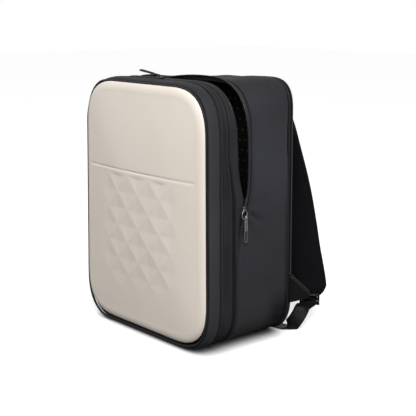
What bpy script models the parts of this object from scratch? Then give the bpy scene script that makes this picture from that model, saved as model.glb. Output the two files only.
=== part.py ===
"""Laptop backpack: a moulded front tray on a soft hollow body with its main zip part open.

The body is a stack of cloth rings along Y, the front at -Y, closed by a moulded tray in front
and a padded panel behind. Two padded shoulder straps hang from the back panel, each with a
ladder lock, a webbing and a wing tab. Units are metres, +Z is up, and the origin is the middle
of the base. Each object is one closed body.
"""
import bpy
import bmesh
import numpy as np

# Body
BODY_WIDTH = 0.312
BODY_HEIGHT = 0.420
BODY_DEPTH = 0.1885
BACK_PADDING = 0.0145
BODY_TAPER = 0.0075
FRONT_CORNER = 0.087
BACK_CORNER = 0.053
BACK_FOOT_CORNER = 0.076
CORNER_POWER = 2.8
BASE_TO_RIM = 0.096
BACK_ROUNDING = 0.012
BACK_EDGE_INSET = 0.0020
BACK_TUCK = 0.0006
PANEL_EDGE = 0.0030
EDGE_SINK = 0.0060
EDGE_SINK_REACH = 0.016
SEAM_SINK = 0.0010
SEAM_SINK_REACH = 0.0035
CLOTH = 0.0025
GAP = 0.0003

# Moulded front tray
SHELL_SIDE_MARGIN = 0.0062
SHELL_FOOT = 0.0130
SHELL_TOP_DROP = 0.0060
SHELL_CORNER = 0.080
SHELL_WALL = 0.0025
SHELL_EDGE_ROUNDING = 0.016
SHELL_EDGE_DEPTH = 0.006
SHELL_CROWN = 0.007

# Depths behind the tray's rim of the seams round the body
EDGE_PIPING = 0.0046
PIPING_PROUD = 0.0016
FRONT_ZIP_START = 0.0235
FRONT_ZIP_WIDTH = 0.0050
RIBBED_BAND_END = 0.0505
MAIN_ZIP_LINE = 0.0595
BACK_SEAM = BODY_DEPTH - BACK_PADDING
BACK_PIPING = 0.0040

# Main zip: closed low down, open from the slider over the top to the other slider
SLIDER_HEIGHT = 0.232
SLIDER_SET_BACK = 0.0145
SEAM_SET_BACK = 0.0310
SEAM_TAPE = 0.0035
SIDE_FLARE = 0.0012
TOP_FLARE = 0.0070
TOP_FLARE_X = 0.047
FLARE_REACH = 0.075
FLARE_AT_SEAM = 0.5
TAPE = 0.0016
SHORTEST_TAPE = 0.0015

# Lining of the rear compartment
LINING = 0.0012
LINING_START = 0.0965
LINING_EASE = 0.0002
LINING_FOLD = 0.0040

# Shoulder straps
STRAP_THICKNESS = 0.013
STRAP_HALF_WIDTH = 0.031
STRAP_TOP_DROP = 0.032
STRAP_FOOT = 0.044
STRAP_STANDOFF = 0.0730
STRAP_TOP_X = 0.070
STRAP_FOOT_INSET = 0.026
STRAP_TURN = np.radians(38)

# Webbing, ladder lock and wing tab
WEBBING_WIDTH = 0.025
WEBBING_THICKNESS = 0.0015
LOCK_WIDTH = 0.034
LOCK_BAR = 0.0034
LOCK_THICKNESS = 0.0040
LOCK_DROP = 0.0010
LOCK_TO_TAB = 0.0135
LOCK_SLOT_EASE = 0.0012
WEBBING_CLEAR = 0.0025
TAB_THICKNESS = 0.0020
TAB_FOOT = 0.057
TAB_HEIGHT = 0.048
TAB_FLAT_ROOT = 0.0040
TAB_TIP_BELOW = 0.0050
TAB_TIP_ABOVE = 0.0060

# Zip sliders and pulls
SLIDER_LENGTH = 0.0110
SLIDER_WIDTH = 0.0085
SLIDER_THICKNESS = 0.0034
PULL_LENGTH = 0.0230
PULL_WIDTH = 0.0062
PULL_THICKNESS = 0.0018
LOOP_LENGTH = 0.0190
LOOP_CORD = 0.0010
EYE_LENGTH = 0.0130
EYE_WIDTH = 0.0090
EYE_WIRE = 0.0013
FRONT_SLIDER_X = 0.012
FRONT_PULL_LIFT = np.radians(7)

CORNER_STEPS = 7
WIDE_STEPS = 4
TALL_STEPS = 12

# Main zip by height. way: share of the way from slider to top centre, negative shares lead from
# the slider down to the base. front and rear: mouth edges, shares of the slider's set-back behind
# the closed line. seam: where the rear cloth starts, a share of the seam's set-back.
MOUTH = np.array([
    # way, front, rear, seam
    (-0.34, 0.00, 0.00, 0.00),
    (-0.24, 0.08, 0.08, 0.03),
    (-0.18, 0.34, 0.34, 0.18),
    (-0.10, 0.60, 0.60, 0.40),
    (-0.05, 0.80, 0.80, 0.56),
    (0.00, 1.00, 1.03, 0.71),
    (0.02, 0.94, 1.32, 0.78),
    (0.05, 0.79, 1.45, 0.86),
    (0.09, 0.60, 1.48, 0.90),
    (0.12, 0.42, 1.50, 0.92),
    (0.17, 0.26, 1.50, 0.92),
    (0.25, 0.18, 1.50, 0.92),
    (0.33, 0.10, 1.46, 0.91),
    (0.40, -0.02, 1.42, 0.89),
    (0.50, -0.34, 1.38, 0.87),
    (0.60, -0.48, 1.42, 0.89),
    (0.75, -0.40, 1.48, 0.92),
    (1.00, -0.30, 1.50, 0.93)])

# Middle line of a shoulder strap. down: share of the height from root to foot. back: share of the
# swing behind the back panel. out: share of the way out to the foot. turn: share of the full turn
# about the strap's length, which faces it outward.
STRAP_LINE = np.array([
    # down, back, out, turn
    (0.000, 0.00, 0.00, 0.00),
    (-0.004, 0.13, 0.00, 0.00),
    (0.012, 0.26, 0.02, 0.00),
    (0.050, 0.38, 0.06, 0.02),
    (0.138, 0.51, 0.19, 0.13),
    (0.261, 0.63, 0.31, 0.26),
    (0.384, 0.735, 0.43, 0.42),
    (0.507, 0.805, 0.56, 0.58),
    (0.633, 0.852, 0.69, 0.71),
    (0.757, 0.885, 0.82, 0.84),
    (0.848, 0.930, 0.92, 0.92),
    (0.938, 0.984, 0.99, 0.97),
    (1.000, 1.000, 1.00, 1.00)])

# Tail of the webbing, from the lock's lower slot to its free end on the floor. aside, behind and up:
# from the lock's middle along X, Y and Z, as shares of the webbing's width. turn: degrees about Z
# from the lock's own turn.
WEBBING_TAIL = np.array([
    # aside, behind, up, turn
    (0.30, -0.38, -0.14, 0),
    (0.46, -0.68, -0.16, 2),
    (0.47, -1.20, -0.28, 1),
    (0.42, -1.48, -0.70, -1),
    (0.28, -1.71, -1.12, -7),
    (0.05, -1.88, -1.48, -18),
    (-0.28, -2.02, -1.70, -45),
    (-0.95, -2.12, -1.70, -85),
    (-1.72, -2.12, -1.66, -104)])


def clear_scene():
    for old in list(bpy.data.objects):
        bpy.data.objects.remove(old, do_unlink=True)


def material(name, colour, roughness, metallic=0.0):
    made = bpy.data.materials.new(name)
    made.use_nodes = True
    shader = made.node_tree.nodes["Principled BSDF"]
    shader.inputs["Base Color"].default_value = (*colour, 1.0)
    shader.inputs["Roughness"].default_value = roughness
    shader.inputs["Metallic"].default_value = metallic
    return made


def solid_from_rows(name, rows, finish, wrap=False, smooth=True):
    """Closed body over rows of points, each row a closed loop. Wrapped, the last row meets the
    first; otherwise both end rows are capped by a fan round their middle."""
    rows = np.asarray(rows, dtype=float)
    count, size = rows.shape[:2]
    points = rows.reshape(-1, 3)
    i = np.arange(count if wrap else count - 1)
    j = np.arange(size)
    a = (i[:, None] * size + j[None, :]).ravel()
    b = (i[:, None] * size + (j[None, :] + 1) % size).ravel()
    c = (((i[:, None] + 1) % count) * size + (j[None, :] + 1) % size).ravel()
    d = (((i[:, None] + 1) % count) * size + j[None, :]).ravel()
    faces = np.stack([a, b, c, d], axis=1).tolist()
    if not wrap:
        ends = np.stack([rows[0].mean(axis=0), rows[-1].mean(axis=0)])
        first, last = len(points), len(points) + 1
        points = np.concatenate([points, ends])
        start = (count - 1) * size
        for k in range(size):
            following = (k + 1) % size
            faces.append((first, following, k))
            faces.append((last, start + k, start + following))
    mesh = bpy.data.meshes.new(name)
    mesh.from_pydata(points.tolist(), [], faces)
    tidy = bmesh.new()
    tidy.from_mesh(mesh)
    bmesh.ops.recalc_face_normals(tidy, faces=tidy.faces)
    tidy.to_mesh(mesh)
    tidy.free()
    if smooth:
        mesh.shade_smooth()
        mesh.set_sharp_from_angle(angle=np.radians(40))
    mesh.materials.append(finish)
    made = bpy.data.objects.new(name, mesh)
    bpy.context.scene.collection.objects.link(made)
    return made


def outline(inset=0.0, corners=(FRONT_CORNER, FRONT_CORNER), foot=0.0, drop=0.0):
    """Rounded rectangle in the XZ plane, its lower and upper corners superellipse arcs, as (n, 2)
    points that run round from the middle of the base. The body tapers a little towards the top."""
    half = BODY_WIDTH / 2 - inset
    low = foot + inset
    high = BODY_HEIGHT - drop - inset
    below, above = (max(corner - inset, 0.2 * corner) for corner in corners)
    turn = np.linspace(0, np.pi / 2, CORNER_STEPS + 1)
    near = np.cos(turn) ** (2 / CORNER_POWER)
    far = np.sin(turn) ** (2 / CORNER_POWER)
    base = np.linspace(0, half - below, WIDE_STEPS + 1)[:-1]
    tall = np.linspace(low + below, high - above, TALL_STEPS + 1)[1:-1]
    top = np.linspace(half - above, 0, WIDE_STEPS + 1)[1:]
    right = np.concatenate([
        np.stack([base, np.full(len(base), low)], axis=1),
        np.stack([half - below + below * far, low + below - below * near], axis=1),
        np.stack([np.full(len(tall), half), tall], axis=1),
        np.stack([half - above + above * near, high - above + above * far], axis=1),
        np.stack([top, np.full(len(top), high)], axis=1)])
    right[:, 0] *= taper(right[:, 1])
    left = right[-2:0:-1] * (-1, 1)
    return np.concatenate([right, left])


def taper(height):
    """Share by which the body's width grows towards the base and shrinks towards the top."""
    return 1 + BODY_TAPER / BODY_WIDTH * (1 - 2 * height / BODY_HEIGHT)


def corners_at(depth):
    """Sizes of the lower and upper corners: large from the tray to the mouth, smaller at the back."""
    share = np.clip((np.max(depth) - MAIN_ZIP_LINE) / (BACK_SEAM - MAIN_ZIP_LINE), 0, 1)
    return tuple(FRONT_CORNER + (back - FRONT_CORNER) * share for back in (BACK_FOOT_CORNER, BACK_CORNER))


def ring_row(depth, inset=0.0):
    """Row of points round the body at a depth behind the tray's rim, one depth or one each."""
    flat = outline(inset, corners_at(depth))
    y = np.broadcast_to(depth, len(flat)) - BASE_TO_RIM
    return np.stack([flat[:, 0], y, flat[:, 1]], axis=1)


def way_from_slider():
    """Share of the way from the slider to the top centre for each point of an outline."""
    flat = outline()
    steps = np.linalg.norm(np.diff(flat, axis=0, append=flat[:1]), axis=1)
    travel = np.concatenate([[0.0], np.cumsum(steps)[:-1]])
    half = travel[len(flat) // 2]
    travel = np.minimum(travel, 2 * half - travel)
    right = flat[:len(flat) // 2 + 1]
    slider = np.interp(SLIDER_HEIGHT, right[:, 1], travel[:len(right)])
    return np.where(travel < slider, travel / slider - 1, (travel - slider) / (half - slider))


def mouth(column):
    return np.interp(way_from_slider(), MOUTH[:, 0], MOUTH[:, column])


def mouth_front():
    return MAIN_ZIP_LINE + SLIDER_SET_BACK * mouth(1)


def mouth_rear():
    return MAIN_ZIP_LINE + SLIDER_SET_BACK * mouth(2) + GAP


def rear_seam():
    return MAIN_ZIP_LINE + SEAM_TAPE + (SEAM_SET_BACK - SEAM_TAPE) * mouth(3)


def mouth_flare():
    """How far the rear edge of the mouth stands out of the body: on the sides, and most on top."""
    flat = outline()
    below_top = np.clip((BODY_HEIGHT - flat[:, 1]) / FRONT_CORNER, 0, 1)
    side = SIDE_FLARE * np.clip(way_from_slider() * 5, 0, 1) * below_top
    crest = np.clip(1 - ((flat[:, 0] - TOP_FLARE_X) / FLARE_REACH) ** 2, 0, 1)
    return side + TOP_FLARE * crest * (flat[:, 1] > BODY_HEIGHT / 2)


def body_inset(depth):
    """Inset of the cloth from the full outline: the front edge and the seams sink in a little."""
    front = EDGE_SINK * np.clip(1 - depth / EDGE_SINK_REACH, 0, 1) ** 2
    seams = sum(SEAM_SINK * np.exp(-((depth - at) / SEAM_SINK_REACH) ** 2)
                for at in (FRONT_ZIP_START + FRONT_ZIP_WIDTH / 2, RIBBED_BAND_END))
    return front + seams


def cloth_ring(name, start, end, shares, finish):
    """Cloth wall round the body from start to end, with rows at the given shares of the way."""
    depths = [start + (end - start) * share for share in shares]
    outer = [ring_row(depth, body_inset(depth)) for depth in depths]
    inner = [ring_row(depth, body_inset(depth) + CLOTH) for depth in reversed(depths)]
    return solid_from_rows(name, outer + inner, finish, wrap=True)


def front_shell(finish):
    """Moulded tray: a rounded edge and a domed face, hollow behind."""
    turn = np.linspace(0, np.pi / 2, 5)
    edge = [(SHELL_EDGE_ROUNDING * (1 - np.cos(a)), SHELL_EDGE_DEPTH * np.sin(a)) for a in turn]
    reach = BODY_WIDTH / 2 - SHELL_SIDE_MARGIN
    face = [(SHELL_EDGE_ROUNDING + share * (reach - SHELL_EDGE_ROUNDING),
             SHELL_EDGE_DEPTH + SHELL_CROWN * np.sin(share * np.pi / 2)) for share in (0.2, 0.45, 0.75)]
    outer = [shell_row(inset, rise) for inset, rise in edge + face]
    inner = [shell_row(inset, rise - SHELL_WALL) for inset, rise in edge[2:] + face]
    rim = [shell_row(SHELL_WALL, 0.0),
           shell_row(1.4 * SHELL_WALL, 0.35 * (SHELL_EDGE_DEPTH - SHELL_WALL))]
    return solid_from_rows("front_shell", outer[::-1] + rim + inner, finish)


def shell_row(inset, rise):
    """Row of the tray: its outline drawn in by the inset, standing forward by the rise."""
    corner = SHELL_CORNER + SHELL_SIDE_MARGIN
    flat = outline(SHELL_SIDE_MARGIN + inset, (corner, corner),
                   SHELL_FOOT - SHELL_SIDE_MARGIN, SHELL_TOP_DROP - SHELL_SIDE_MARGIN)
    y = np.full(len(flat), -BASE_TO_RIM - rise)
    return np.stack([flat[:, 0], y, flat[:, 1]], axis=1)


def bead_ring(name, depth, size, inset, finish):
    """Piping: a cord in a cloth fold that runs round the body, six-sided in section."""
    turn = np.arange(6) * np.pi / 3
    rows = [ring_row(depth + size / 2 * (1 + np.sin(a)), inset + size / 2 * (1 - np.cos(a)))
            for a in turn]
    return solid_from_rows(name, rows, finish, wrap=True)


def main_zip_front(finish):
    """Front tape of the main zip, from the ribbed band to the front edge of the mouth."""
    start = RIBBED_BAND_END + GAP
    edge = mouth_front() - GAP / 2
    shares = (0.0, 0.5, 1.0)
    sink = body_inset(RIBBED_BAND_END)
    outer = [ring_row(start + s * (edge - start), sink * (1 - s)) for s in shares]
    inner = [ring_row(start + s * (edge - start), sink * (1 - s) + TAPE) for s in reversed(shares)]
    return solid_from_rows("main_zip_front_tape", outer + inner, finish, wrap=True)


def main_zip_rear(finish):
    """Rear tape of the main zip, from the mouth's rear edge to the rear seam."""
    start = mouth_rear()
    end = np.maximum(rear_seam() - GAP, start + SHORTEST_TAPE)
    shares = (0.0, 0.5, 1.0)
    lift = 1 - FLARE_AT_SEAM
    outer = [flared_row(start + s * (end - start), 0.0, 1 - lift * s) for s in shares]
    inner = [flared_row(start + s * (end - start), TAPE, 1 - lift * s) for s in reversed(shares)]
    return solid_from_rows("main_zip_rear_tape", outer + inner, finish, wrap=True)


def flared_row(depth, inset, share):
    """Row that stands out by a share of the mouth's flare, each point away from the middle."""
    row = ring_row(depth, inset)
    plain = outline(inset, corners_at(depth))
    wider = outline(inset - TOP_FLARE, corners_at(depth))
    push = (wider - plain) * (share * mouth_flare() / TOP_FLARE)[:, None]
    row[:, 0] += push[:, 0]
    row[:, 2] += push[:, 1]
    return row


def rear_gusset(finish):
    """Side, top and bottom of the rear compartment, rounded in towards the back."""
    start = rear_seam()
    bend = BACK_SEAM - BACK_ROUNDING
    last = np.radians(40)
    depths = [start + s * (bend - start) for s in (0.35, 0.7)]
    outer = [flared_row(start, 0.0, FLARE_AT_SEAM)] + [ring_row(depth) for depth in depths]
    inner = [flared_row(start, CLOTH, FLARE_AT_SEAM)] + [ring_row(depth, CLOTH) for depth in depths]
    for angle in np.linspace(0.0, last, 3):
        depth = bend + BACK_ROUNDING * np.sin(angle) / np.sin(last)
        tuck = BACK_TUCK * (1 - np.cos(angle)) / (1 - np.cos(last))
        outer.append(ring_row(depth, tuck))
        inner.append(ring_row(depth, tuck + CLOTH))
    return solid_from_rows("rear_gusset", outer + inner[::-1], finish, wrap=True)


def back_panel(finish):
    """Padded panel that closes the back, its edge rounded over."""
    front = BACK_SEAM + BACK_PIPING + 2 * GAP
    edge = front + PANEL_EDGE
    rows = [ring_row(front, inset) for inset in (0.32 * BODY_WIDTH, 0.05 * BODY_WIDTH, BACK_EDGE_INSET)]
    for angle in np.radians((20, 45, 68, 90)):
        depth = edge + (BODY_DEPTH - edge) * np.sin(angle)
        rows.append(ring_row(depth, BACK_EDGE_INSET + BACK_ROUNDING * (1 - np.cos(angle)) * 0.9))
    rows += [ring_row(BODY_DEPTH, share * BODY_WIDTH) for share in (0.14, 0.32)]
    return solid_from_rows("back_panel", rows, finish)


def lining(finish):
    """Thin lining inside the rear compartment: a tray against the gusset and the back panel."""
    near = CLOTH + GAP + LINING_EASE
    tuck = BACK_TUCK + near + LINING_EASE
    bend = BACK_SEAM - 1.05 * BACK_ROUNDING
    back = BACK_SEAM + BACK_PIPING + GAP
    middle = 0.32 * BODY_WIDTH
    outer = [ring_row(LINING_START, near), ring_row(bend, near), ring_row(BACK_SEAM, tuck),
             ring_row(back, tuck + LINING_FOLD), ring_row(back, middle)]
    inner = [ring_row(LINING_START, near + LINING), ring_row(bend, near + LINING),
             ring_row(BACK_SEAM - LINING, tuck + LINING),
             ring_row(back - LINING, tuck + LINING_FOLD + LINING), ring_row(back - LINING, middle)]
    return solid_from_rows("lining", outer[::-1] + inner, finish)


def unit(vectors):
    return vectors / np.linalg.norm(vectors, axis=-1, keepdims=True)


def along(points, count):
    """Points read at even steps of length from a smooth curve through the given points."""
    points = np.asarray(points, dtype=float)
    padded = np.concatenate([2 * points[:1] - points[1:2], points, 2 * points[-1:] - points[-2:-1]])
    p0, p1, p2, p3 = (padded[k:len(padded) - 3 + k, None] for k in range(4))
    t = np.linspace(0, 1, 24, endpoint=False)[None, :, None]
    fine = 0.5 * (2 * p1 + (p2 - p0) * t + (2 * p0 - 5 * p1 + 4 * p2 - p3) * t ** 2
                  + (3 * p1 - p0 - 3 * p2 + p3) * t ** 3)
    fine = np.concatenate([fine.reshape(-1, points.shape[1]), points[-1:]])
    length = np.concatenate([[0], np.cumsum(np.linalg.norm(np.diff(fine[:, :3], axis=0), axis=1))])
    want = np.linspace(0, length[-1], count)
    return np.stack([np.interp(want, length, fine[:, k]) for k in range(fine.shape[1])], axis=1)


def band_rows(middle, across, half_width, half_thickness, rounding=0.0):
    """Rows of a flat band: its middle line, the unit vector across it, and its half sizes."""
    ahead = unit(np.gradient(middle, axis=0))
    across = unit(across - (across * ahead).sum(axis=1, keepdims=True) * ahead)
    through = np.cross(ahead, across)
    half_width = np.broadcast_to(half_width, len(middle))
    half_thickness = np.broadcast_to(half_thickness, len(middle))
    if rounding:
        section = [(1, -0.45), (1, 0.45), (1 - rounding, 1), (rounding - 1, 1),
                   (-1, 0.45), (-1, -0.45), (rounding - 1, -1), (1 - rounding, -1)]
    else:
        section = [(1, -1), (1, 1), (-1, 1), (-1, -1)]
    return np.stack([middle + across * (u * half_width)[:, None] + through * (v * half_thickness)[:, None]
                     for u, v in section], axis=1)


def strap_frame():
    """Middle line of the right strap and the unit vectors across it."""
    down, back, out, turn = STRAP_LINE.T
    root = BODY_DEPTH - BASE_TO_RIM + GAP
    top = BODY_HEIGHT - STRAP_TOP_DROP
    foot_x = BODY_WIDTH / 2 - STRAP_FOOT_INSET
    line = np.stack([STRAP_TOP_X + (foot_x - STRAP_TOP_X) * out, root + STRAP_STANDOFF * back,
                     top - (top - STRAP_FOOT) * down, STRAP_TURN * turn], axis=1)
    line = along(line, 26)
    across = np.stack([np.cos(line[:, 3]), np.sin(line[:, 3]), np.zeros(len(line))], axis=1)
    return line[:, :3], across


def shoulder_strap(side, finish):
    """Padded strap: rooted on the back panel, bowed out behind it, rounded at its foot."""
    middle, across = strap_frame()
    share = np.linspace(0, 1, len(middle))
    foot = np.sqrt(np.clip((1.012 - share) / 0.06, 0.10, 1))
    half_width = STRAP_HALF_WIDTH * (1.03 - 0.10 * share) * foot
    thickness = STRAP_THICKNESS / 2 * np.clip((1.03 - share) / 0.07, 0.55, 1)
    rows = band_rows(middle, across, half_width, thickness, rounding=0.16)
    rows[0, :, 1] = middle[0, 1]
    rows[..., 0] *= side
    return solid_from_rows(f"shoulder_strap_{word(side)}", rows, finish)


def word(side):
    return "right" if side > 0 else "left"


def lock_frame():
    """Middle of the right ladder lock, the unit vector across it, and the one out of its face
    towards the bag. It lies on the inner face of the strap's foot."""
    across = np.array([np.cos(STRAP_TURN), np.sin(STRAP_TURN), 0.0])
    face = np.array([np.sin(STRAP_TURN), -np.cos(STRAP_TURN), 0.0])
    foot = strap_frame()[0][-1]
    off = STRAP_THICKNESS / 2 * 0.6 + LOCK_THICKNESS / 2 + LOCK_BAR * 0.85 + WEBBING_THICKNESS / 2
    return foot + face * off - (0.0, 0.0, LOCK_DROP), across, face


def ladder_lock(side, finish):
    """Plate with two slots beside a middle bar, and a plain lip below that leans out."""
    centre, across, face = lock_frame()
    half = LOCK_WIDTH / 2
    rail = (LOCK_WIDTH - WEBBING_WIDTH) / 2 - LOCK_SLOT_EASE
    columns = np.array([-half, rail - half, half - rail, half])
    rows = LOCK_BAR * np.array([-3.4, -1.5, -0.5, 0.5, 1.5, 2.6])
    lean = LOCK_BAR * np.array([-0.9, 0.0, 0.0, 0.0, 0.0, 0.0])
    tidy = bmesh.new()
    mirror = np.array([side, 1.0, 1.0])
    levels = [centre + face * (out - LOCK_THICKNESS / 2) + (0, 0, z) for z, out in zip(rows, lean)]
    grid = [[tidy.verts.new(mirror * (level + across * u)) for u in columns] for level in levels]
    for row in range(len(rows) - 1):
        for column in range(len(columns) - 1):
            if column == 1 and row in (1, 3):
                continue
            tidy.faces.new((grid[row][column], grid[row][column + 1],
                            grid[row + 1][column + 1], grid[row + 1][column]))
    raised = bmesh.ops.extrude_face_region(tidy, geom=list(tidy.faces))["geom"]
    moved = [item for item in raised if isinstance(item, bmesh.types.BMVert)]
    bmesh.ops.translate(tidy, verts=moved, vec=mirror * face * LOCK_THICKNESS)
    bmesh.ops.recalc_face_normals(tidy, faces=tidy.faces)
    return object_from(tidy, f"ladder_lock_{word(side)}", finish)


def object_from(tidy, name, finish):
    mesh = bpy.data.meshes.new(name)
    tidy.to_mesh(mesh)
    tidy.free()
    mesh.materials.append(finish)
    made = bpy.data.objects.new(name, mesh)
    bpy.context.scene.collection.objects.link(made)
    return made


def wing_tab(side, finish):
    """Three-cornered cloth tab: flat on the back panel's edge at its root, narrow at the webbing."""
    root_y = BACK_SEAM + BACK_PIPING + 3 * GAP - BASE_TO_RIM
    heights = np.array([TAB_FOOT, TAB_FOOT + TAB_HEIGHT])
    outside = BODY_WIDTH / 2 * taper(heights) - BACK_EDGE_INSET + GAP
    tip = webbing_start() + lock_frame()[2] * 3 * GAP
    rows = []
    for way, reach in ((0.0, 0.0), (0.05, TAB_FLAT_ROOT), (1.0, tip[1] - root_y)):
        low_high = outside + (tip[0] - outside) * way * (way > 0.5)
        level = heights + (tip[2] + np.array([-TAB_TIP_BELOW, TAB_TIP_ABOVE]) - heights) * way
        y = root_y + reach
        wall = TAB_THICKNESS * np.array([1, 1, 0, 0]) - TAB_THICKNESS / 2 * (way > 0.5)
        rows.append(np.stack([low_high[[0, 1, 1, 0]] + wall, np.full(4, y), level[[0, 1, 1, 0]]], axis=1))
    rows = np.array(rows)
    rows[..., 0] *= side
    return solid_from_rows(f"wing_tab_{word(side)}", rows, finish, smooth=False)


def webbing_start():
    """Where the webbing leaves the wing tab."""
    centre, _, face = lock_frame()
    return centre + face * LOCK_TO_TAB + (0.0, 0.0, 3 * LOCK_BAR)


def strap_webbing(side, finish):
    """Webbing from the wing tab through the ladder lock, its tail hanging to the floor."""
    centre, _, face = lock_frame()
    lift = WEBBING_THICKNESS / 2 + GAP
    half = LOCK_THICKNESS / 2
    through = [(LOCK_TO_TAB, 3 * LOCK_BAR), (half + WEBBING_CLEAR, 1.25 * LOCK_BAR), (-half, LOCK_BAR),
               (-half - 0.85 * LOCK_BAR, 0.0), (-half, -LOCK_BAR), (half + WEBBING_CLEAR, -LOCK_BAR)]
    upper = [np.concatenate([centre + face * out + (0, 0, up), [STRAP_TURN]]) for out, up in through]
    shift, turn = WEBBING_TAIL[:, :3] * WEBBING_WIDTH, np.radians(WEBBING_TAIL[:, 3])
    lower = [np.concatenate([centre + move, [STRAP_TURN + angle]]) for move, angle in zip(shift, turn)]
    line = along(upper + lower, 40)
    line[:, 2] = np.maximum(line[:, 2], lift)
    across = np.stack([np.cos(line[:, 3]), np.sin(line[:, 3]), np.zeros(len(line))], axis=1)
    rows = band_rows(line[:, :3], across, WEBBING_WIDTH / 2, WEBBING_THICKNESS / 2)
    rows[..., 2] = np.maximum(rows[..., 2], 0.0)
    rows[..., 0] *= side
    return solid_from_rows(f"strap_webbing_{word(side)}", rows, finish, smooth=False)


def rounded_block(name, centre, axes, size, finish):
    """Block with its long edges cut off, for a slider's body. axes: three unit vectors."""
    section = [(1, 0.4), (0.6, 1), (-0.6, 1), (-1, 0.4), (-1, -1), (1, -1)]
    ends = [(-1.0, 0.75), (-0.7, 1.0), (0.7, 1.0), (1.0, 0.75)]
    across, out, ahead = (axis * length / 2 for axis, length in zip(axes, size))
    rows = [[centre + across * u * grow + out * v + ahead * w for u, v in section] for w, grow in ends]
    return solid_from_rows(name, rows, finish, smooth=False)


def flat_frame(name, outer, inner, centre, axes, thickness, finish):
    """Flat ring between two outlines of as many points, given along the first and third axis."""
    def lay(flat, level):
        return [centre + axes[0] * u + axes[2] * w + axes[1] * level for u, w in flat]
    half = thickness / 2
    rows = [lay(outer, -half), lay(outer, half), lay(inner, half), lay(inner, -half)]
    return solid_from_rows(name, rows, finish, wrap=True, smooth=False)


def pull_outline(half_width, half_length):
    """Eight-sided long outline."""
    cut = 0.5 * half_width
    upper = [(half_width, half_length - cut), (half_width - cut, half_length),
             (cut - half_width, half_length), (-half_width, half_length - cut)]
    return upper + [(-u, -w) for u, w in upper]


def zip_pull(label, seat, axes, finish, cord_finish):
    """Slider with an eye, a slotted pull and a cord loop, laid out down the third axis. axes:
    across the zip, out of the cloth, and from the pull back to the slider."""
    across, out, ahead = axes
    body = seat + out * (SLIDER_THICKNESS / 2 + GAP)
    rounded_block(f"{label}_slider", body, axes, (SLIDER_WIDTH, SLIDER_THICKNESS, SLIDER_LENGTH), finish)
    level = seat + out * (SLIDER_THICKNESS + 2 * GAP + PULL_THICKNESS / 2)
    eye_half = (EYE_WIDTH / 2, EYE_LENGTH / 2)
    corners = [(1, 0.15), (0.25, 1), (-0.25, 1), (-1, 0.15),
               (-1, -0.15), (-0.45, -1), (0.45, -1), (1, -0.15)]
    eye = [(u * eye_half[0], w * eye_half[1]) for u, w in corners]
    hole = [(u * (eye_half[0] - EYE_WIRE), w * (eye_half[1] - EYE_WIRE)) for u, w in corners]
    flat_frame(f"{label}_eye", eye, hole, level + ahead * (SLIDER_LENGTH - EYE_LENGTH) / 2, axes,
               PULL_THICKNESS, finish)
    top = (SLIDER_LENGTH - EYE_LENGTH) / 2 - EYE_LENGTH / 2 - GAP
    pull = level + ahead * (top - PULL_LENGTH / 2)
    flat_frame(f"{label}_pull", pull_outline(PULL_WIDTH / 2, PULL_LENGTH / 2),
               pull_outline(PULL_WIDTH / 2 - EYE_WIRE, PULL_LENGTH / 2 - 2 * EYE_WIRE), pull, axes,
               PULL_THICKNESS, finish)
    start = level + ahead * (top - PULL_LENGTH - GAP)
    reach = PULL_WIDTH / 2
    turn = np.linspace(0, np.pi, 7)
    end = [(reach * np.cos(a), 1 - reach / LOOP_LENGTH * (1 - np.sin(a))) for a in turn]
    run = [(reach, 0.0), (reach, 0.5)] + end + [(-reach, 0.5), (-reach, 0.0)]
    middle = np.array([start + across * u - ahead * LOOP_LENGTH * w for u, w in run])
    side = np.broadcast_to(out, middle.shape)
    rows = band_rows(middle, side, LOOP_CORD, LOOP_CORD, rounding=0.5)
    solid_from_rows(f"{label}_loop", rows, cord_finish)


def main_zip_pulls(side, finish, cord_finish):
    """Slider where the mouth ends, with its pull hanging down."""
    across = np.array([0.0, 1.0, 0.0])
    out = np.array([side, 0.0, 0.0])
    ahead = np.array([0.0, 0.0, 1.0])
    seat = np.array([side * BODY_WIDTH / 2 * taper(SLIDER_HEIGHT - SLIDER_LENGTH),
                     MAIN_ZIP_LINE + SLIDER_SET_BACK - BASE_TO_RIM, SLIDER_HEIGHT - SLIDER_LENGTH / 2])
    zip_pull(f"main_zip_{word(side)}", seat, (across, out, ahead), finish, cord_finish)


def front_zip_pull(finish, cord_finish):
    """Slider of the front pocket's zip on top of the body, its pull standing up to the left."""
    seat = np.array([FRONT_SLIDER_X, FRONT_ZIP_START + FRONT_ZIP_WIDTH / 2 - BASE_TO_RIM, BODY_HEIGHT])
    lift = FRONT_PULL_LIFT
    out = np.array([np.sin(lift), 0.0, np.cos(lift)])
    ahead = np.array([np.cos(lift), 0.0, -np.sin(lift)])
    across = np.array([0.0, 1.0, 0.0])
    zip_pull("front_zip", seat + (0, 0, SLIDER_LENGTH / 2 * np.sin(lift)), (across, out, ahead),
             finish, cord_finish)


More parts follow.
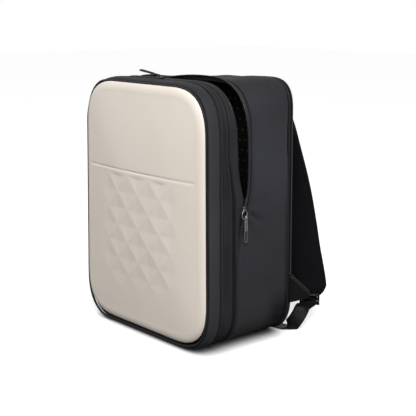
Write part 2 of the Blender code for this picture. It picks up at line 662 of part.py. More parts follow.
def build():
    clear_scene()
    cream = material("moulded_cream", (0.70, 0.64, 0.57), 0.55)
    cloth = material("black_cloth", (0.045, 0.046, 0.052), 0.75)
    trim = material("black_trim", (0.020, 0.020, 0.024), 0.6)
    tape = material("zip_tape", (0.035, 0.035, 0.040), 0.7)
    mesh_cloth = material("black_mesh", (0.012, 0.012, 0.014), 0.85)
    inside = material("lining_cloth", (0.010, 0.010, 0.011), 0.8)
    plastic = material("black_plastic", (0.015, 0.015, 0.017), 0.4)
    metal = material("dark_metal", (0.14, 0.14, 0.15), 0.35, 1.0)

    front_shell(cream)
    bead_ring("shell_piping", GAP, EDGE_PIPING - 2 * GAP, SHELL_SIDE_MARGIN - PIPING_PROUD, trim)
    front_zip_end = FRONT_ZIP_START + FRONT_ZIP_WIDTH
    cloth_ring("front_gusset", EDGE_PIPING, FRONT_ZIP_START - GAP, (0, 0.24, 0.61, 1), cloth)
    cloth_ring("front_zip", FRONT_ZIP_START, front_zip_end, (0, 0.5, 1), tape)
    cloth_ring("middle_gusset", front_zip_end + GAP, RIBBED_BAND_END, (0, 0.24, 0.75, 1), cloth)
    main_zip_front(tape)
    main_zip_rear(tape)
    rear_gusset(cloth)
    bead_ring("back_piping", BACK_SEAM + GAP, BACK_PIPING, 0.0, trim)
    back_panel(mesh_cloth)
    lining(inside)
    for side in (1, -1):
        shoulder_strap(side, mesh_cloth)
        ladder_lock(side, plastic)
        wing_tab(side, cloth)
        strap_webbing(side, trim)
        main_zip_pulls(side, metal, trim)
    front_zip_pull(metal, trim)


build()
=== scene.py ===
"""Looks of the laptop backpack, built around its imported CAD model.

The body is a stack of cloth rings round one outline, whose place is given by the depth behind the
moulded tray's rim. Front is -Y, +X is the side that shows, +Z is up, and units are metres.
"""

import bmesh
import bpy
import numpy as np
from mathutils import Matrix


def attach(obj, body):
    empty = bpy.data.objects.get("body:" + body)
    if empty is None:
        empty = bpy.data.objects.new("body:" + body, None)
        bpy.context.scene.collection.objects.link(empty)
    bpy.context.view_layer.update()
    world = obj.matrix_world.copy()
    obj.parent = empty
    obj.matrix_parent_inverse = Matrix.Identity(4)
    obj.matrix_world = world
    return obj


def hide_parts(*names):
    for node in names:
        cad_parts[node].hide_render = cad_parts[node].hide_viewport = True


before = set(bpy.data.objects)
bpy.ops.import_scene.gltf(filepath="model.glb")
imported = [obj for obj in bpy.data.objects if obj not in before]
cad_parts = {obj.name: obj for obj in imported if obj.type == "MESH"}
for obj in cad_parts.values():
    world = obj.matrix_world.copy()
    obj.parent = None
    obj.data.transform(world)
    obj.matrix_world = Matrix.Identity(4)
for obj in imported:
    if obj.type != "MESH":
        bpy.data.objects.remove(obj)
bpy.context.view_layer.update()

# Sizes of the body, as the CAD has them
BODY_WIDTH = 0.312
BODY_HEIGHT = 0.420
BODY_DEPTH = 0.1885
BACK_PADDING = 0.0145
BODY_TAPER = 0.0075
FRONT_CORNER = 0.087
BACK_CORNER = 0.053
BACK_FOOT_CORNER = 0.076
CORNER_POWER = 2.8
BASE_TO_RIM = 0.096
BACK_ROUNDING = 0.012
BACK_EDGE_INSET = 0.0020
CLOTH = 0.0025
GAP = 0.0003
EDGE_SINK = 0.0060
EDGE_SINK_REACH = 0.016

# How far the rear top sinks at its left end and stands up at its right end
SAG_LEFT = 0.0092
LIFT_RIGHT = 0.0030

# Moulded front tray and the relief on its face
SHELL_SIDE_MARGIN = 0.0062
SHELL_FOOT = 0.0130
SHELL_TOP_DROP = 0.0074
SHELL_CORNER = 0.080
SHELL_WALL = 0.0025
SHELL_EDGE_ROUNDING = 0.016
SHELL_EDGE_DEPTH = 0.006
SHELL_CROWN = 0.007
GROOVE_HEIGHT = 0.2725
GROOVE_WIDTH = 0.0022
GROOVE_DEPTH = 0.0011
GROOVE_REACH = 0.134
LOZENGE_HALF_WIDTH = 0.02675
LOZENGE_HALF_HEIGHT = 0.0281
LOZENGE_DEPTH = 0.0011
LOZENGE_TOP = 0.2650

# Depths of the seams behind the tray's rim
EDGE_PIPING = 0.0046
CORD_PROUD = 0.0014
CORD_PRESSED_OUT = 0.0054
FRONT_ZIP_START = 0.0235
FRONT_ZIP_WIDTH = 0.0050
RIBBED_BAND_END = 0.0505
MAIN_ZIP_LINE = 0.0595
BACK_SEAM = BODY_DEPTH - BACK_PADDING
BACK_PIPING = 0.0040

# Main zip
SLIDER_HEIGHT = 0.232
SLIDER_SET_BACK = 0.0145
SEAM_SET_BACK = 0.0310
SEAM_TAPE = 0.0035
SIDE_FLARE = 0.0012
TOP_FLARE = 0.0070
TOP_FLARE_X = 0.047
FLARE_REACH = 0.075
FLARE_AT_SEAM = 0.5
TAPE = 0.0016
LINING_START = 0.0965

# Zip teeth, stitches, puckers of the low rear cloth, and the cells of the lining's dots
TOOTH_PITCH = 0.0019
STITCH_PITCH = 0.0045
STITCH_SIZE = (0.0030, 0.0007, 0.0005)
PUCKER_LENGTH = 0.019
DOT_CELL_WIDTH = 0.0125
DOT_CELL_HEIGHT = 0.0170

# Shoulder straps
STRAP_THICKNESS = 0.013
STRAP_HALF_WIDTH = 0.031
STRAP_TOP = 0.388
STRAP_FOOT = 0.044
STRAP_STANDOFF = 0.0730
STRAP_TOP_X = 0.070
STRAP_FOOT_X = 0.130
STRAP_TURN = np.radians(38)

# Webbing, ladder lock and wing tab
WEBBING_WIDTH = 0.025
WEBBING_THICKNESS = 0.0015
LOCK_BAR = 0.0034
LOCK_THICKNESS = 0.0040
LOCK_DROP = 0.0010
LOCK_TO_TAB = 0.0135
TAB_THICKNESS = 0.0020
TAB_FOOT = 0.057
TAB_HEIGHT = 0.048
WEBBING_CLEAR = 0.0025
TAB_FLAT_ROOT = 0.0040
TAB_TIP_BELOW = 0.0050
TAB_TIP_ABOVE = 0.0060

# Points round the outline: on a half of the base or top, on a corner, and up a side
WIDE_STEPS = 30
CORNER_STEPS = 44
TALL_STEPS = 100

# Zip sliders, their eyes, pulls and cord loops
SLIDER_LENGTH = 0.0110
SLIDER_THICKNESS = 0.0034
PULL_LENGTH = 0.0230
PULL_WIDTH = 0.0062
PULL_THICKNESS = 0.0018
LOOP_LENGTH = 0.0190
EYE_LENGTH = 0.0145
EYE_WIDTH = 0.0122
EYE_WIRE = 0.0013
LINK_REACH = 0.0040
LINK_WIRE = 0.0011
PULL_WIRE = 0.0012
RIDGE_SIZE = 0.0011
LOOP_RADIUS = 0.0008
FRONT_SLIDER_X = 0.012
FRONT_PULL_LIFT = np.radians(7)

# Painted light on the cloth by height, as shares of its own colour: lighter or darker by how the light falls
# there
PAINTED_LIGHT_BY_HEIGHT = np.array([
    # height, front band, rear body
    (0.000, 0.95, 0.90),
    (0.050, 1.00, 1.05),
    (0.110, 1.14, 0.99),
    (0.175, 1.25, 1.07),
    (0.265, 1.19, 1.17),
    (0.340, 1.17, 1.17),
    (0.390, 1.00, 0.95),
    (0.420, 0.72, 0.66)])

# Creases in the rear cloth beside a slider: raised where size is above 0, sunk where it is below.
# Each is also painted lighter where raised and darker where sunk.
CREASES = np.array([
    # depth, height, end depth, end height, width, size
    (0.0880, 0.2125, 0.1010, 0.2000, 0.0026, 0.0011),
    (0.0890, 0.2180, 0.1080, 0.2060, 0.0030, -0.0014),
    (0.0900, 0.2160, 0.1350, 0.1950, 0.0060, -0.0012),
    (0.0880, 0.2330, 0.1180, 0.2400, 0.0050, -0.0010),
    (0.0860, 0.2040, 0.1000, 0.1800, 0.0045, -0.0011)])

# Main zip by height. way: share of the way from slider to top centre, negative shares lead from
# the slider down to the base. front and rear: mouth edges, shares of the slider's set-back behind
# the closed line. seam: where the rear cloth starts, a share of the seam's set-back.
MOUTH = np.array([
    # way, front, rear, seam
    (-0.34, 0.00, 0.00, 0.00),
    (-0.24, 0.08, 0.08, 0.03),
    (-0.18, 0.34, 0.34, 0.18),
    (-0.10, 0.60, 0.60, 0.40),
    (-0.05, 0.80, 0.80, 0.56),
    (0.00, 1.00, 1.03, 0.71),
    (0.02, 0.94, 1.38, 0.80),
    (0.05, 0.79, 1.58, 0.89),
    (0.09, 0.60, 1.64, 0.94),
    (0.12, 0.40, 1.66, 0.96),
    (0.17, 0.22, 1.66, 0.96),
    (0.25, 0.12, 1.66, 0.96),
    (0.33, 0.04, 1.60, 0.95),
    (0.40, -0.06, 1.50, 0.92),
    (0.50, -0.34, 1.38, 0.87),
    (0.60, -0.48, 1.42, 0.89),
    (0.75, -0.40, 1.48, 0.92),
    (1.00, -0.30, 1.50, 0.93)])

# Middle line of a shoulder strap. down: share of the height from root to foot. back: share of the
# swing behind the back panel. out: share of the way out to the foot. turn: share of the full turn
# about the strap's length, which faces it outward.
STRAP_LINE = np.array([
    # down, back, out, turn
    (0.000, 0.00, 0.00, 0.00),
    (-0.004, 0.13, 0.00, 0.00),
    (0.012, 0.26, 0.02, 0.00),
    (0.050, 0.38, 0.06, 0.02),
    (0.138, 0.51, 0.19, 0.13),
    (0.261, 0.63, 0.31, 0.26),
    (0.384, 0.735, 0.43, 0.42),
    (0.507, 0.805, 0.56, 0.58),
    (0.633, 0.852, 0.69, 0.71),
    (0.757, 0.885, 0.82, 0.84),
    (0.848, 0.930, 0.92, 0.92),
    (0.938, 0.984, 0.99, 0.97),
    (1.000, 1.000, 1.00, 1.00)])

# Tail of the webbing, from the lock's lower slot to its free end on the floor. aside, behind and up:
# from the lock's middle along X, Y and Z, as shares of the webbing's width. turn: degrees about Z
# from the lock's own turn.
WEBBING_TAIL = np.array([
    # aside, behind, up, turn
    (0.30, -0.38, -0.14, 0),
    (0.46, -0.68, -0.16, 2),
    (0.47, -1.20, -0.28, 1),
    (0.42, -1.48, -0.70, -1),
    (0.28, -1.71, -1.12, -7),
    (0.05, -1.88, -1.48, -18),
    (-0.28, -2.02, -1.70, -45),
    (-0.95, -2.12, -1.70, -85),
    (-1.72, -2.12, -1.66, -104)])

# The photo's camera: its angles in degrees, its lens, its distance and its offset from the aim
CAMERA_AZIMUTH = 47.792
CAMERA_ELEVATION = 12.021
CAMERA_ROLL = 0.447
CAMERA_LENS = 80.435
CAMERA_DISTANCE = 1.5529
CAMERA_OFFSET = (0.03717, -0.01256)
CAMERA_AIM = (0.0, -0.006, 0.215)


# Plain geometry


def unit(vectors):
    return vectors / np.maximum(np.linalg.norm(vectors, axis=-1, keepdims=True), 1e-12)


def smooth_step(x):
    """3x^2 - 2x^3 between 0 and 1."""
    x = np.clip(x, 0, 1)
    return x * x * (3 - 2 * x)


def bell(x, width):
    """exp(-(x / width)^2)."""
    return np.exp(-(x / width) ** 2)


def resample(points, count):
    """count + 1 points at even steps of length along an open line."""
    length = np.concatenate([[0], np.cumsum(np.linalg.norm(np.diff(points, axis=0), axis=1))])
    want = np.linspace(0, length[-1], count + 1)
    return np.stack([np.interp(want, length, points[:, k]) for k in range(points.shape[1])], axis=1)


def along(points, count):
    """Points at even steps of length on a Catmull-Rom curve through the given rows, whose first
    three columns are X, Y and Z."""
    points = np.asarray(points, dtype=float)
    padded = np.concatenate([2 * points[:1] - points[1:2], points, 2 * points[-1:] - points[-2:-1]])
    p0, p1, p2, p3 = (padded[k:len(padded) - 3 + k, None] for k in range(4))
    t = np.linspace(0, 1, 24, endpoint=False)[None, :, None]
    fine = 0.5 * (2 * p1 + (p2 - p0) * t + (2 * p0 - 5 * p1 + 4 * p2 - p3) * t ** 2
                  + (3 * p1 - p0 - 3 * p2 + p3) * t ** 3)
    fine = np.concatenate([fine.reshape(-1, points.shape[1]), points[-1:]])
    length = np.concatenate([[0], np.cumsum(np.linalg.norm(np.diff(fine[:, :3], axis=0), axis=1))])
    want = np.linspace(0, length[-1], count)
    return np.stack([np.interp(want, length, fine[:, k]) for k in range(fine.shape[1])], axis=1)


def ripple(points, seed, size):
    """Gentle unevenness from about -1 to 1: the mean of plane sine waves of many directions, whose
    lengths lie round the given size."""
    dice = np.random.default_rng(seed)
    waves = unit(dice.normal(size=(9, 3))) / (size * dice.uniform(0.6, 1.7, (9, 1)))
    phase = dice.uniform(0, 2 * np.pi, 9)
    return 2.2 * np.sin(2 * np.pi * (np.asarray(points) @ waves.T) + phase).mean(axis=-1)


# The body's outline


def taper(height):
    """Share by which the body's width grows towards the base and shrinks towards the top."""
    return 1 + BODY_TAPER / BODY_WIDTH * (1 - 2 * height / BODY_HEIGHT)


def outline(below, above, margin=0.0, foot=0.0, drop=0.0):
    """Rounded rectangle in the XZ plane, its lower and upper corners superellipse arcs
    |x|^p + |z|^p = r^p, as even points that run round from the middle of the base by way of +X."""
    half = BODY_WIDTH / 2 - margin
    low, high = foot, BODY_HEIGHT - drop
    turn = np.linspace(0, np.pi / 2, 241)
    near = np.cos(turn) ** (2 / CORNER_POWER)
    far = np.sin(turn) ** (2 / CORNER_POWER)
    lower = np.stack([half - below + below * far, low + below - below * near], axis=1)
    upper = np.stack([half - above + above * near, high - above + above * far], axis=1)
    lower, upper = resample(lower, CORNER_STEPS), resample(upper, CORNER_STEPS)
    base = np.linspace(0, half - below, WIDE_STEPS + 1)
    tall = np.linspace(low + below, high - above, TALL_STEPS + 1)
    top = np.linspace(half - above, 0, WIDE_STEPS + 1)
    right = np.concatenate([
        np.stack([base, np.full(len(base), low)], axis=1)[:-1], lower[:-1],
        np.stack([np.full(len(tall), half), tall], axis=1)[:-1], upper[:-1],
        np.stack([top, np.full(len(top), high)], axis=1)])
    right[:, 0] *= taper(right[:, 1])
    return np.concatenate([right, right[-2:0:-1] * (-1, 1)])


def outward(flat):
    """Unit normals of a closed outline that runs towards +X along its base."""
    ahead = np.roll(flat, -1, axis=0) - np.roll(flat, 1, axis=0)
    return unit(np.stack([ahead[:, 1], -ahead[:, 0]], axis=1))


FRONT_RING = outline(FRONT_CORNER, FRONT_CORNER)
BACK_RING = outline(BACK_FOOT_CORNER, BACK_CORNER)
SHELL_RING = outline(SHELL_CORNER, SHELL_CORNER, SHELL_SIDE_MARGIN, SHELL_FOOT, SHELL_TOP_DROP)
ROUND = len(FRONT_RING)
RING_STEPS = np.linalg.norm(np.diff(FRONT_RING, axis=0, append=FRONT_RING[:1]), axis=1)
RING_TRAVEL = np.concatenate([[0.0], np.cumsum(RING_STEPS)])
RING_LENGTH = RING_STEPS.sum()


def way_from_slider():
    """Share of the way from the slider to the top centre for each point of an outline."""
    travel = RING_TRAVEL[:-1]
    half = travel[ROUND // 2]
    travel = np.minimum(travel, 2 * half - travel)
    slider = np.interp(SLIDER_HEIGHT, FRONT_RING[:ROUND // 2 + 1, 1], travel[:ROUND // 2 + 1])
    return np.where(travel < slider, travel / slider - 1, (travel - slider) / (half - slider))


WAY = way_from_slider()


def mouth(column):
    """A column of the table by way, with its corners rounded off by a moving mean."""
    plain = np.interp(WAY, MOUTH[:, 0], MOUTH[:, column])
    reach = 4
    return sum(np.roll(plain, k) for k in range(-reach, reach + 1)) / (2 * reach + 1)


MOUTH_FRONT = MAIN_ZIP_LINE + SLIDER_SET_BACK * mouth(1)
MOUTH_REAR = MAIN_ZIP_LINE + SLIDER_SET_BACK * mouth(2) + GAP
REAR_SEAM = MAIN_ZIP_LINE + SEAM_TAPE + (SEAM_SET_BACK - SEAM_TAPE) * mouth(3)

# Coil and ridge of the front zip, and the long fold beside the main zip: its middle and half width
FRONT_ZIP_LINE = FRONT_ZIP_START + 0.0024
FRONT_ZIP_RIDGE = FRONT_ZIP_START + 0.0046
VALLEY = RIBBED_BAND_END + 0.0038 - 0.0112 * smooth_step(WAY / 0.28)
VALLEY_HALF = 0.0050 - 0.0024 * smooth_step(WAY / 0.28)


def mouth_flare():
    """How far the rear edge of the mouth stands out of the body: a little on the sides, and in a
    crest 1 - ((x - centre) / reach)^2 on top."""
    below_top = np.clip((BODY_HEIGHT - FRONT_RING[:, 1]) / FRONT_CORNER, 0, 1)
    side = SIDE_FLARE * np.clip(WAY * 5, 0, 1) * below_top
    crest = np.clip(1 - ((FRONT_RING[:, 0] - TOP_FLARE_X) / FLARE_REACH) ** 2, 0, 1)
    return side + TOP_FLARE * crest * (FRONT_RING[:, 1] > BODY_HEIGHT / 2)


FLARE = mouth_flare()


def at_depth(flat, depth):
    """Points of the XZ plane set at depths behind the tray's rim."""
    depth = np.broadcast_to(depth - BASE_TO_RIM, flat.shape[:-1])
    return np.stack([flat[..., 0], depth, flat[..., 1]], axis=-1)


def skin(depth, inset):
    """Points on the body for depths behind the tray's rim and insets from the full outline, as
    (rows, round) arrays. The outline's corners shrink from the main zip to the back seam."""
    depth, inset = np.broadcast_arrays(np.asarray(depth, float), np.asarray(inset, float))
    depth, inset = (np.broadcast_to(a, (len(a), ROUND)) for a in (depth, inset))
    share = np.clip((depth - MAIN_ZIP_LINE) / (BACK_SEAM - MAIN_ZIP_LINE), 0, 1)[..., None]
    flat = FRONT_RING * (1 - share) + BACK_RING * share
    out = unit(outward(FRONT_RING) * (1 - share) + outward(BACK_RING) * share)
    flat = flat - out * inset[..., None]
    return at_depth(flat, depth)


def slump(points):
    """The soft rear top sinks towards its left end and lifts a little at its right end, more
    towards the back: a ramp in X times a ramp in depth times a ramp in height. The base is flat on
    the floor."""
    x, y, z = np.moveaxis(points, -1, 0)
    reach = smooth_step((y + BASE_TO_RIM - 0.085) / 0.060) * smooth_step((z - 0.26) / (BODY_HEIGHT - 0.26))
    drop = SAG_LEFT * smooth_step((0.010 - x) / 0.10) - LIFT_RIGHT * smooth_step((x - 0.035) / 0.06)
    moved = points.copy()
    moved[..., 2] = np.maximum(z - reach * drop, 0.0)
    return moved


def rows_between(start, end, shares):
    """Depths from start to end, each one number or one per point, at the given shares."""
    shares = np.asarray(shares, float)[:, None]
    return np.asarray(start) * (1 - shares) + np.asarray(end) * shares


def edge_inset(depth):
    """How far the cloth sinks towards the tray's edge."""
    return EDGE_SINK * np.clip(1 - depth / EDGE_SINK_REACH, 0, 1) ** 2


# Meshes


def mesh_piece(name, points, faces, finish, uv=None, body="root", nodes=(), slot=None, sharp=40, shade=1.0):
    """New piece from points and faces. uv: one pair per face corner, in metres. The last argument is a
    number or one per point: painted light and shading with a little random tone, a factor on the
    cloth's colour, gloss and sheen there."""
    mesh = bpy.data.meshes.new(name)
    mesh.from_pydata(np.asarray(points).reshape(-1, 3).tolist(), [], np.asarray(faces).tolist()
                     if not isinstance(faces, list) else faces)
    if uv is not None:
        layer = mesh.uv_layers.new(name="cloth")
        layer.data.foreach_set("uv", np.asarray(uv, dtype=np.float32).ravel())
    tidy = bmesh.new()
    tidy.from_mesh(mesh)
    bmesh.ops.recalc_face_normals(tidy, faces=tidy.faces)
    tidy.to_mesh(mesh)
    tidy.free()
    # Painted light and shading per point, kept on the mesh for its cloth to read
    tone = mesh.attributes.new("shade", "FLOAT", "POINT")
    values = np.broadcast_to(np.ravel(shade), len(mesh.vertices))
    tone.data.foreach_set("value", np.array(values, dtype=np.float32))
    mesh.shade_smooth()
    mesh.set_sharp_from_angle(angle=np.radians(sharp))
    mesh.materials.append(finish)
    piece = bpy.data.objects.new(name, mesh)
    bpy.context.scene.collection.objects.link(piece)
    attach(piece, body)
    if nodes:
        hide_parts(*nodes)
    return piece


def quads(rows, columns, wrap_rows=False, wrap_columns=True):
    """Corner numbers of the four-sided faces of a grid of points, one row of four per face."""
    i = np.arange(rows if wrap_rows else rows - 1)[:, None]
    j = np.arange(columns if wrap_columns else columns - 1)[None, :]
    below, beside = (i + 1) % rows, (j + 1) % columns
    return np.stack([i * columns + j, i * columns + beside, below * columns + beside,
                     below * columns + j], axis=-1).reshape(-1, 4)


def grid_uv(u, v, wrap_rows=False):
    """Face corner pairs for a grid: u along its columns and v along its rows, one more than faces."""
    rows, columns = len(v) - 1, len(u) - 1
    first, last = np.meshgrid(u[:-1], v[:-1]), np.meshgrid(u[1:], v[1:])
    corners = [(first[0], first[1]), (last[0], first[1]), (last[0], last[1]), (first[0], last[1])]
    return np.stack([np.stack(c, axis=-1) for c in corners], axis=2).reshape(-1, 2)


def row_travel(points, wrap):
    """Length travelled from row to row, and back to the first one where the rows wrap."""
    steps = np.linalg.norm(np.diff(points, axis=0), axis=-1).mean(axis=1)
    travel = np.concatenate([[0], np.cumsum(steps)])
    if wrap:
        travel = np.append(travel, travel[-1] + np.linalg.norm(points[0] - points[-1], axis=-1).mean())
    return travel


def ring_piece(name, outer, inner, finish, **facts):
    """Closed ring of cloth: rows of its outer face, then rows of its inner face."""
    points = np.concatenate([outer, inner])
    u = np.linspace(0, RING_LENGTH, ROUND + 1)
    uv = grid_uv(u, row_travel(points, wrap=True))
    return mesh_piece(name, points, quads(len(points), ROUND, wrap_rows=True), finish, uv, **facts)


def cloth_band(name, depth, inset, finish, wall=CLOTH, shade=1.0, **facts):
    """Cloth wall round the body: its outer face at the depths and insets, its inner face a wall in."""
    outer = skin(depth, inset)
    keep = sorted({0, len(depth) - 1, *range(0, len(depth), 5)})
    inset = np.broadcast_to(inset, (len(depth), ROUND))
    inner = skin(depth[keep][::-1], inset[keep][::-1] + wall)
    shade = np.concatenate([np.broadcast_to(shade, outer.shape[:2]), np.ones(inner.shape[:2])])
    return ring_piece(name, slump(outer), slump(inner), finish, shade=shade, **facts)


def round_cord(name, middle, radius, finish, closed, sides=12, **facts):
    """Round cord along a line of points: circles of the radius square to the line, caps at open ends."""
    middle = np.asarray(middle, float)
    if closed:
        ahead = unit(np.roll(middle, -1, axis=0) - np.roll(middle, 1, axis=0))
    else:
        ahead = unit(np.gradient(middle, axis=0))
    across = unit(np.cross(ahead, np.array([0.31, 0.87, 0.38])))
    through = np.cross(ahead, across)
    turn = np.arange(sides) * 2 * np.pi / sides
    radius = np.broadcast_to(radius, len(middle))[:, None, None]
    circle = across[:, None] * np.cos(turn)[:, None] + through[:, None] * np.sin(turn)[:, None]
    rows = middle[:, None] + radius * circle
    return row_piece(name, rows, finish, closed, **facts)


def row_piece(name, rows, finish, closed=False, **facts):
    """Closed body over rows of points that are each a closed loop, its ends capped unless it wraps."""
    rows = np.asarray(rows, float)
    count, size = rows.shape[:2]
    faces = quads(count, size, wrap_rows=closed).tolist()
    travel = row_travel(rows, closed)
    girth = np.linalg.norm(np.diff(rows, axis=1, append=rows[:, :1]), axis=-1).mean(axis=0)
    uv = grid_uv(np.concatenate([[0], np.cumsum(girth)]), travel)
    if closed:
        return mesh_piece(name, rows, faces, finish, uv, **facts)
    points = np.concatenate([rows.reshape(-1, 3), rows[[0, -1]].mean(axis=1)])
    hub = count * size
    if np.size(facts.get("shade", 1.0)) > 1:
        shade = np.reshape(facts["shade"], (count, size))
        facts["shade"] = np.append(shade, shade[[0, -1]].mean(axis=1))
    around = np.arange(size)
    beside = (around + 1) % size
    start = hub - size
    caps = np.concatenate([np.stack([np.full(size, hub), beside, around], axis=1),
                           np.stack([np.full(size, hub + 1), start + around, start + beside], axis=1)])
    uv = np.concatenate([uv, np.zeros((len(caps) * 3, 2))])
    return mesh_piece(name, points, faces + caps.tolist(), finish, uv, **facts)


def small_blocks(name, middles, ahead, out, size, finish, **facts):
    """Many small blocks with cut-off ends, such as zip teeth and stitches. size: along ahead, across
    and out."""
    ahead, out = unit(ahead), unit(out)
    across = unit(np.cross(out, ahead))
    section = np.array([(-1, -1), (1, -1), (1, 0.2), (0.5, 1), (-0.5, 1), (-1, 0.2)]) / 2
    ends = np.array([-0.5, 0.5])
    corners = (middles[:, None, None] + ahead[:, None, None] * (ends * size[0])[:, None, None]
               + across[:, None, None] * (section[:, 0] * size[1])[:, None]
               + out[:, None, None] * (section[:, 1] * size[2])[:, None])
    k = np.arange(6)
    sides = np.stack([k, (k + 1) % 6, 6 + (k + 1) % 6, 6 + k], axis=1)
    caps = np.array([(0, 5, 4, 3), (0, 3, 2, 1), (6, 9, 10, 11), (6, 7, 8, 9)])
    one = np.concatenate([sides, caps])
    faces = (one[None] + 12 * np.arange(len(middles))[:, None, None]).reshape(-1, 4)
    return mesh_piece(name, corners, faces, finish, sharp=30, **facts)


def finer_copy(node, finish, bevel, steps=2):
    """Copy of a hard CAD node with its doubles merged and its edges rounded, which replaces it."""
    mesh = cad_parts[node].data.copy()
    tidy = bmesh.new()
    tidy.from_mesh(mesh)
    bmesh.ops.remove_doubles(tidy, verts=tidy.verts, dist=1e-5)
    bmesh.ops.dissolve_limit(tidy, angle_limit=np.radians(1), verts=tidy.verts, edges=tidy.edges)
    hard = [edge for edge in tidy.edges
            if len(edge.link_faces) == 2 and edge.calc_face_angle(0) > np.radians(25)]
    bmesh.ops.bevel(tidy, geom=hard, offset=bevel, segments=steps, profile=0.6, affect="EDGES",
                    clamp_overlap=True)
    bmesh.ops.recalc_face_normals(tidy, faces=tidy.faces)
    tidy.to_mesh(mesh)
    tidy.free()
    mesh.shade_smooth()
    mesh.set_sharp_from_angle(angle=np.radians(50))
    mesh.materials.clear()
    mesh.materials.append(finish)
    piece = bpy.data.objects.new(node + "_fine", mesh)
    bpy.context.scene.collection.objects.link(piece)
    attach(piece, "root")
    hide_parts(node)
    return piece


# Shader groups


def shader_group(name, inputs, outputs):
    """Empty node group with float or vector sockets, and its input and output nodes."""
    tree = bpy.data.node_groups.new(name, "ShaderNodeTree")
    for socket, kind, value in inputs:
        made = tree.interface.new_socket(name=socket, in_out="INPUT", socket_type="NodeSocket" + kind)
        if value is not None:
            made.default_value = value
    for socket, kind in outputs:
        tree.interface.new_socket(name=socket, in_out="OUTPUT", socket_type="NodeSocket" + kind)
    return tree, tree.nodes.new("NodeGroupInput"), tree.nodes.new("NodeGroupOutput")


def node(tree, kind, links=(), **settings):
    """New node with its settings, its inputs linked or set by (input, value or socket) pairs."""
    made = tree.nodes.new("ShaderNode" + kind)
    for key, value in settings.items():
        setattr(made, key, value)
    for key, value in links:
        if isinstance(value, bpy.types.NodeSocket):
            tree.links.new(value, made.inputs[key])
        else:
            made.inputs[key].default_value = value
    return made


def math(tree, operation, first, second=None, third=None):
    links = [(k, v) for k, v in enumerate((first, second, third)) if v is not None]
    return node(tree, "Math", links, operation=operation).outputs[0]


def make_weave_group():
    """Plain weave: two sets of threads that pass over and under, sin(pi u) sin(pi v) in turns."""
    tree, given, result = shader_group(
        "weave", [("Vector", "Vector", None), ("Threads per metre", "Float", 1200.0)],
        [("Height", "Float"), ("Shade", "Float")])
    split = node(tree, "SeparateXYZ", [(0, given.outputs["Vector"])])
    turns = [math(tree, "SINE", math(tree, "MULTIPLY", math(tree, "MULTIPLY", split.outputs[k],
             given.outputs["Threads per metre"]), np.pi)) for k in (0, 1)]
    crossing = math(tree, "MULTIPLY", turns[0], turns[1])
    height = math(tree, "MULTIPLY_ADD", crossing, 0.5, 0.5)
    noise = node(tree, "TexNoise", [("Vector", given.outputs["Vector"]), ("Scale", 260.0), ("Detail", 3.0),
                                    ("Roughness", 0.6)])
    tree.links.new(height, result.inputs["Height"])
    tree.links.new(noise.outputs[0], result.inputs["Shade"])
    return tree


def make_unevenness_group():
    """Slow variation of tone over a surface: soft noise at two sizes."""
    tree, given, result = shader_group(
        "unevenness", [("Vector", "Vector", None), ("Scale", "Float", 8.0)], [("Tone", "Float")])
    slow = node(tree, "TexNoise", [("Vector", given.outputs["Vector"]), ("Scale", given.outputs["Scale"]),
                                   ("Detail", 4.0), ("Roughness", 0.55)])
    tree.links.new(slow.outputs[0], result.inputs["Tone"])
    return tree


def make_grain_group():
    """Fine grain of moulded plastic or metal: small noise as height and a mask for gloss."""
    tree, given, result = shader_group(
        "grain", [("Vector", "Vector", None), ("Scale", "Float", 1500.0)],
        [("Height", "Float"), ("Mask", "Float")])
    noise = node(tree, "TexNoise", [("Vector", given.outputs["Vector"]), ("Scale", given.outputs["Scale"]),
                                    ("Detail", 2.0), ("Roughness", 0.5)])
    cells = node(tree, "TexVoronoi", [("Vector", given.outputs["Vector"]), ("Scale", given.outputs["Scale"])])
    tree.links.new(noise.outputs[0], result.inputs["Mask"])
    tree.links.new(math(tree, "MULTIPLY_ADD", noise.outputs[0], 0.5, cells.outputs["Distance"]),
                   result.inputs["Height"])
    return tree


WEAVE = make_weave_group()
UNEVENNESS = make_unevenness_group()
GRAIN = make_grain_group()


def placed(tree, group, **links):
    made = tree.nodes.new("ShaderNodeGroup")
    made.node_tree = group
    for key, value in links.items():
        key = key.replace("_", " ")
        if isinstance(value, bpy.types.NodeSocket):
            tree.links.new(value, made.inputs[key])
        else:
            made.inputs[key].default_value = value
    return made


def mixed(tree, factor, first, second):
    """Colour between two colours by a factor socket."""
    made = node(tree, "Mix", [(0, factor)], data_type="RGBA")
    for key, value in (("A", first), ("B", second)):
        socket = [s for s in made.inputs if s.name == key and s.type == "RGBA"][0]
        if isinstance(value, bpy.types.NodeSocket):
            tree.links.new(value, socket)
        else:
            socket.default_value = (*value, 1.0)
    return [s for s in made.outputs if s.type == "RGBA"][0]


def ranged(tree, value, low, high, start=0.0, end=1.0):
    return node(tree, "MapRange", [(0, value), (1, low), (2, high), (3, start), (4, end)]).outputs[0]


def bumped(tree, shader, height, distance, strength):
    """Fine relief of a surface from a height socket."""
    bump = node(tree, "Bump", [("Distance", distance), ("Height", height), ("Strength", strength)])
    tree.links.new(bump.outputs[0], shader.inputs["Normal"])


def bare_material(name, roughness, metallic=0.0, sheen=0.0, specular=0.5):
    made = bpy.data.materials.new(name)
    made.use_nodes = True
    shader = made.node_tree.nodes["Principled BSDF"]
    for socket, value in (("Roughness", roughness), ("Metallic", metallic), ("Sheen Weight", sheen),
                          ("Sheen Roughness", 0.45), ("Specular IOR Level", specular)):
        shader.inputs[socket].default_value = value
    return made, made.node_tree, shader


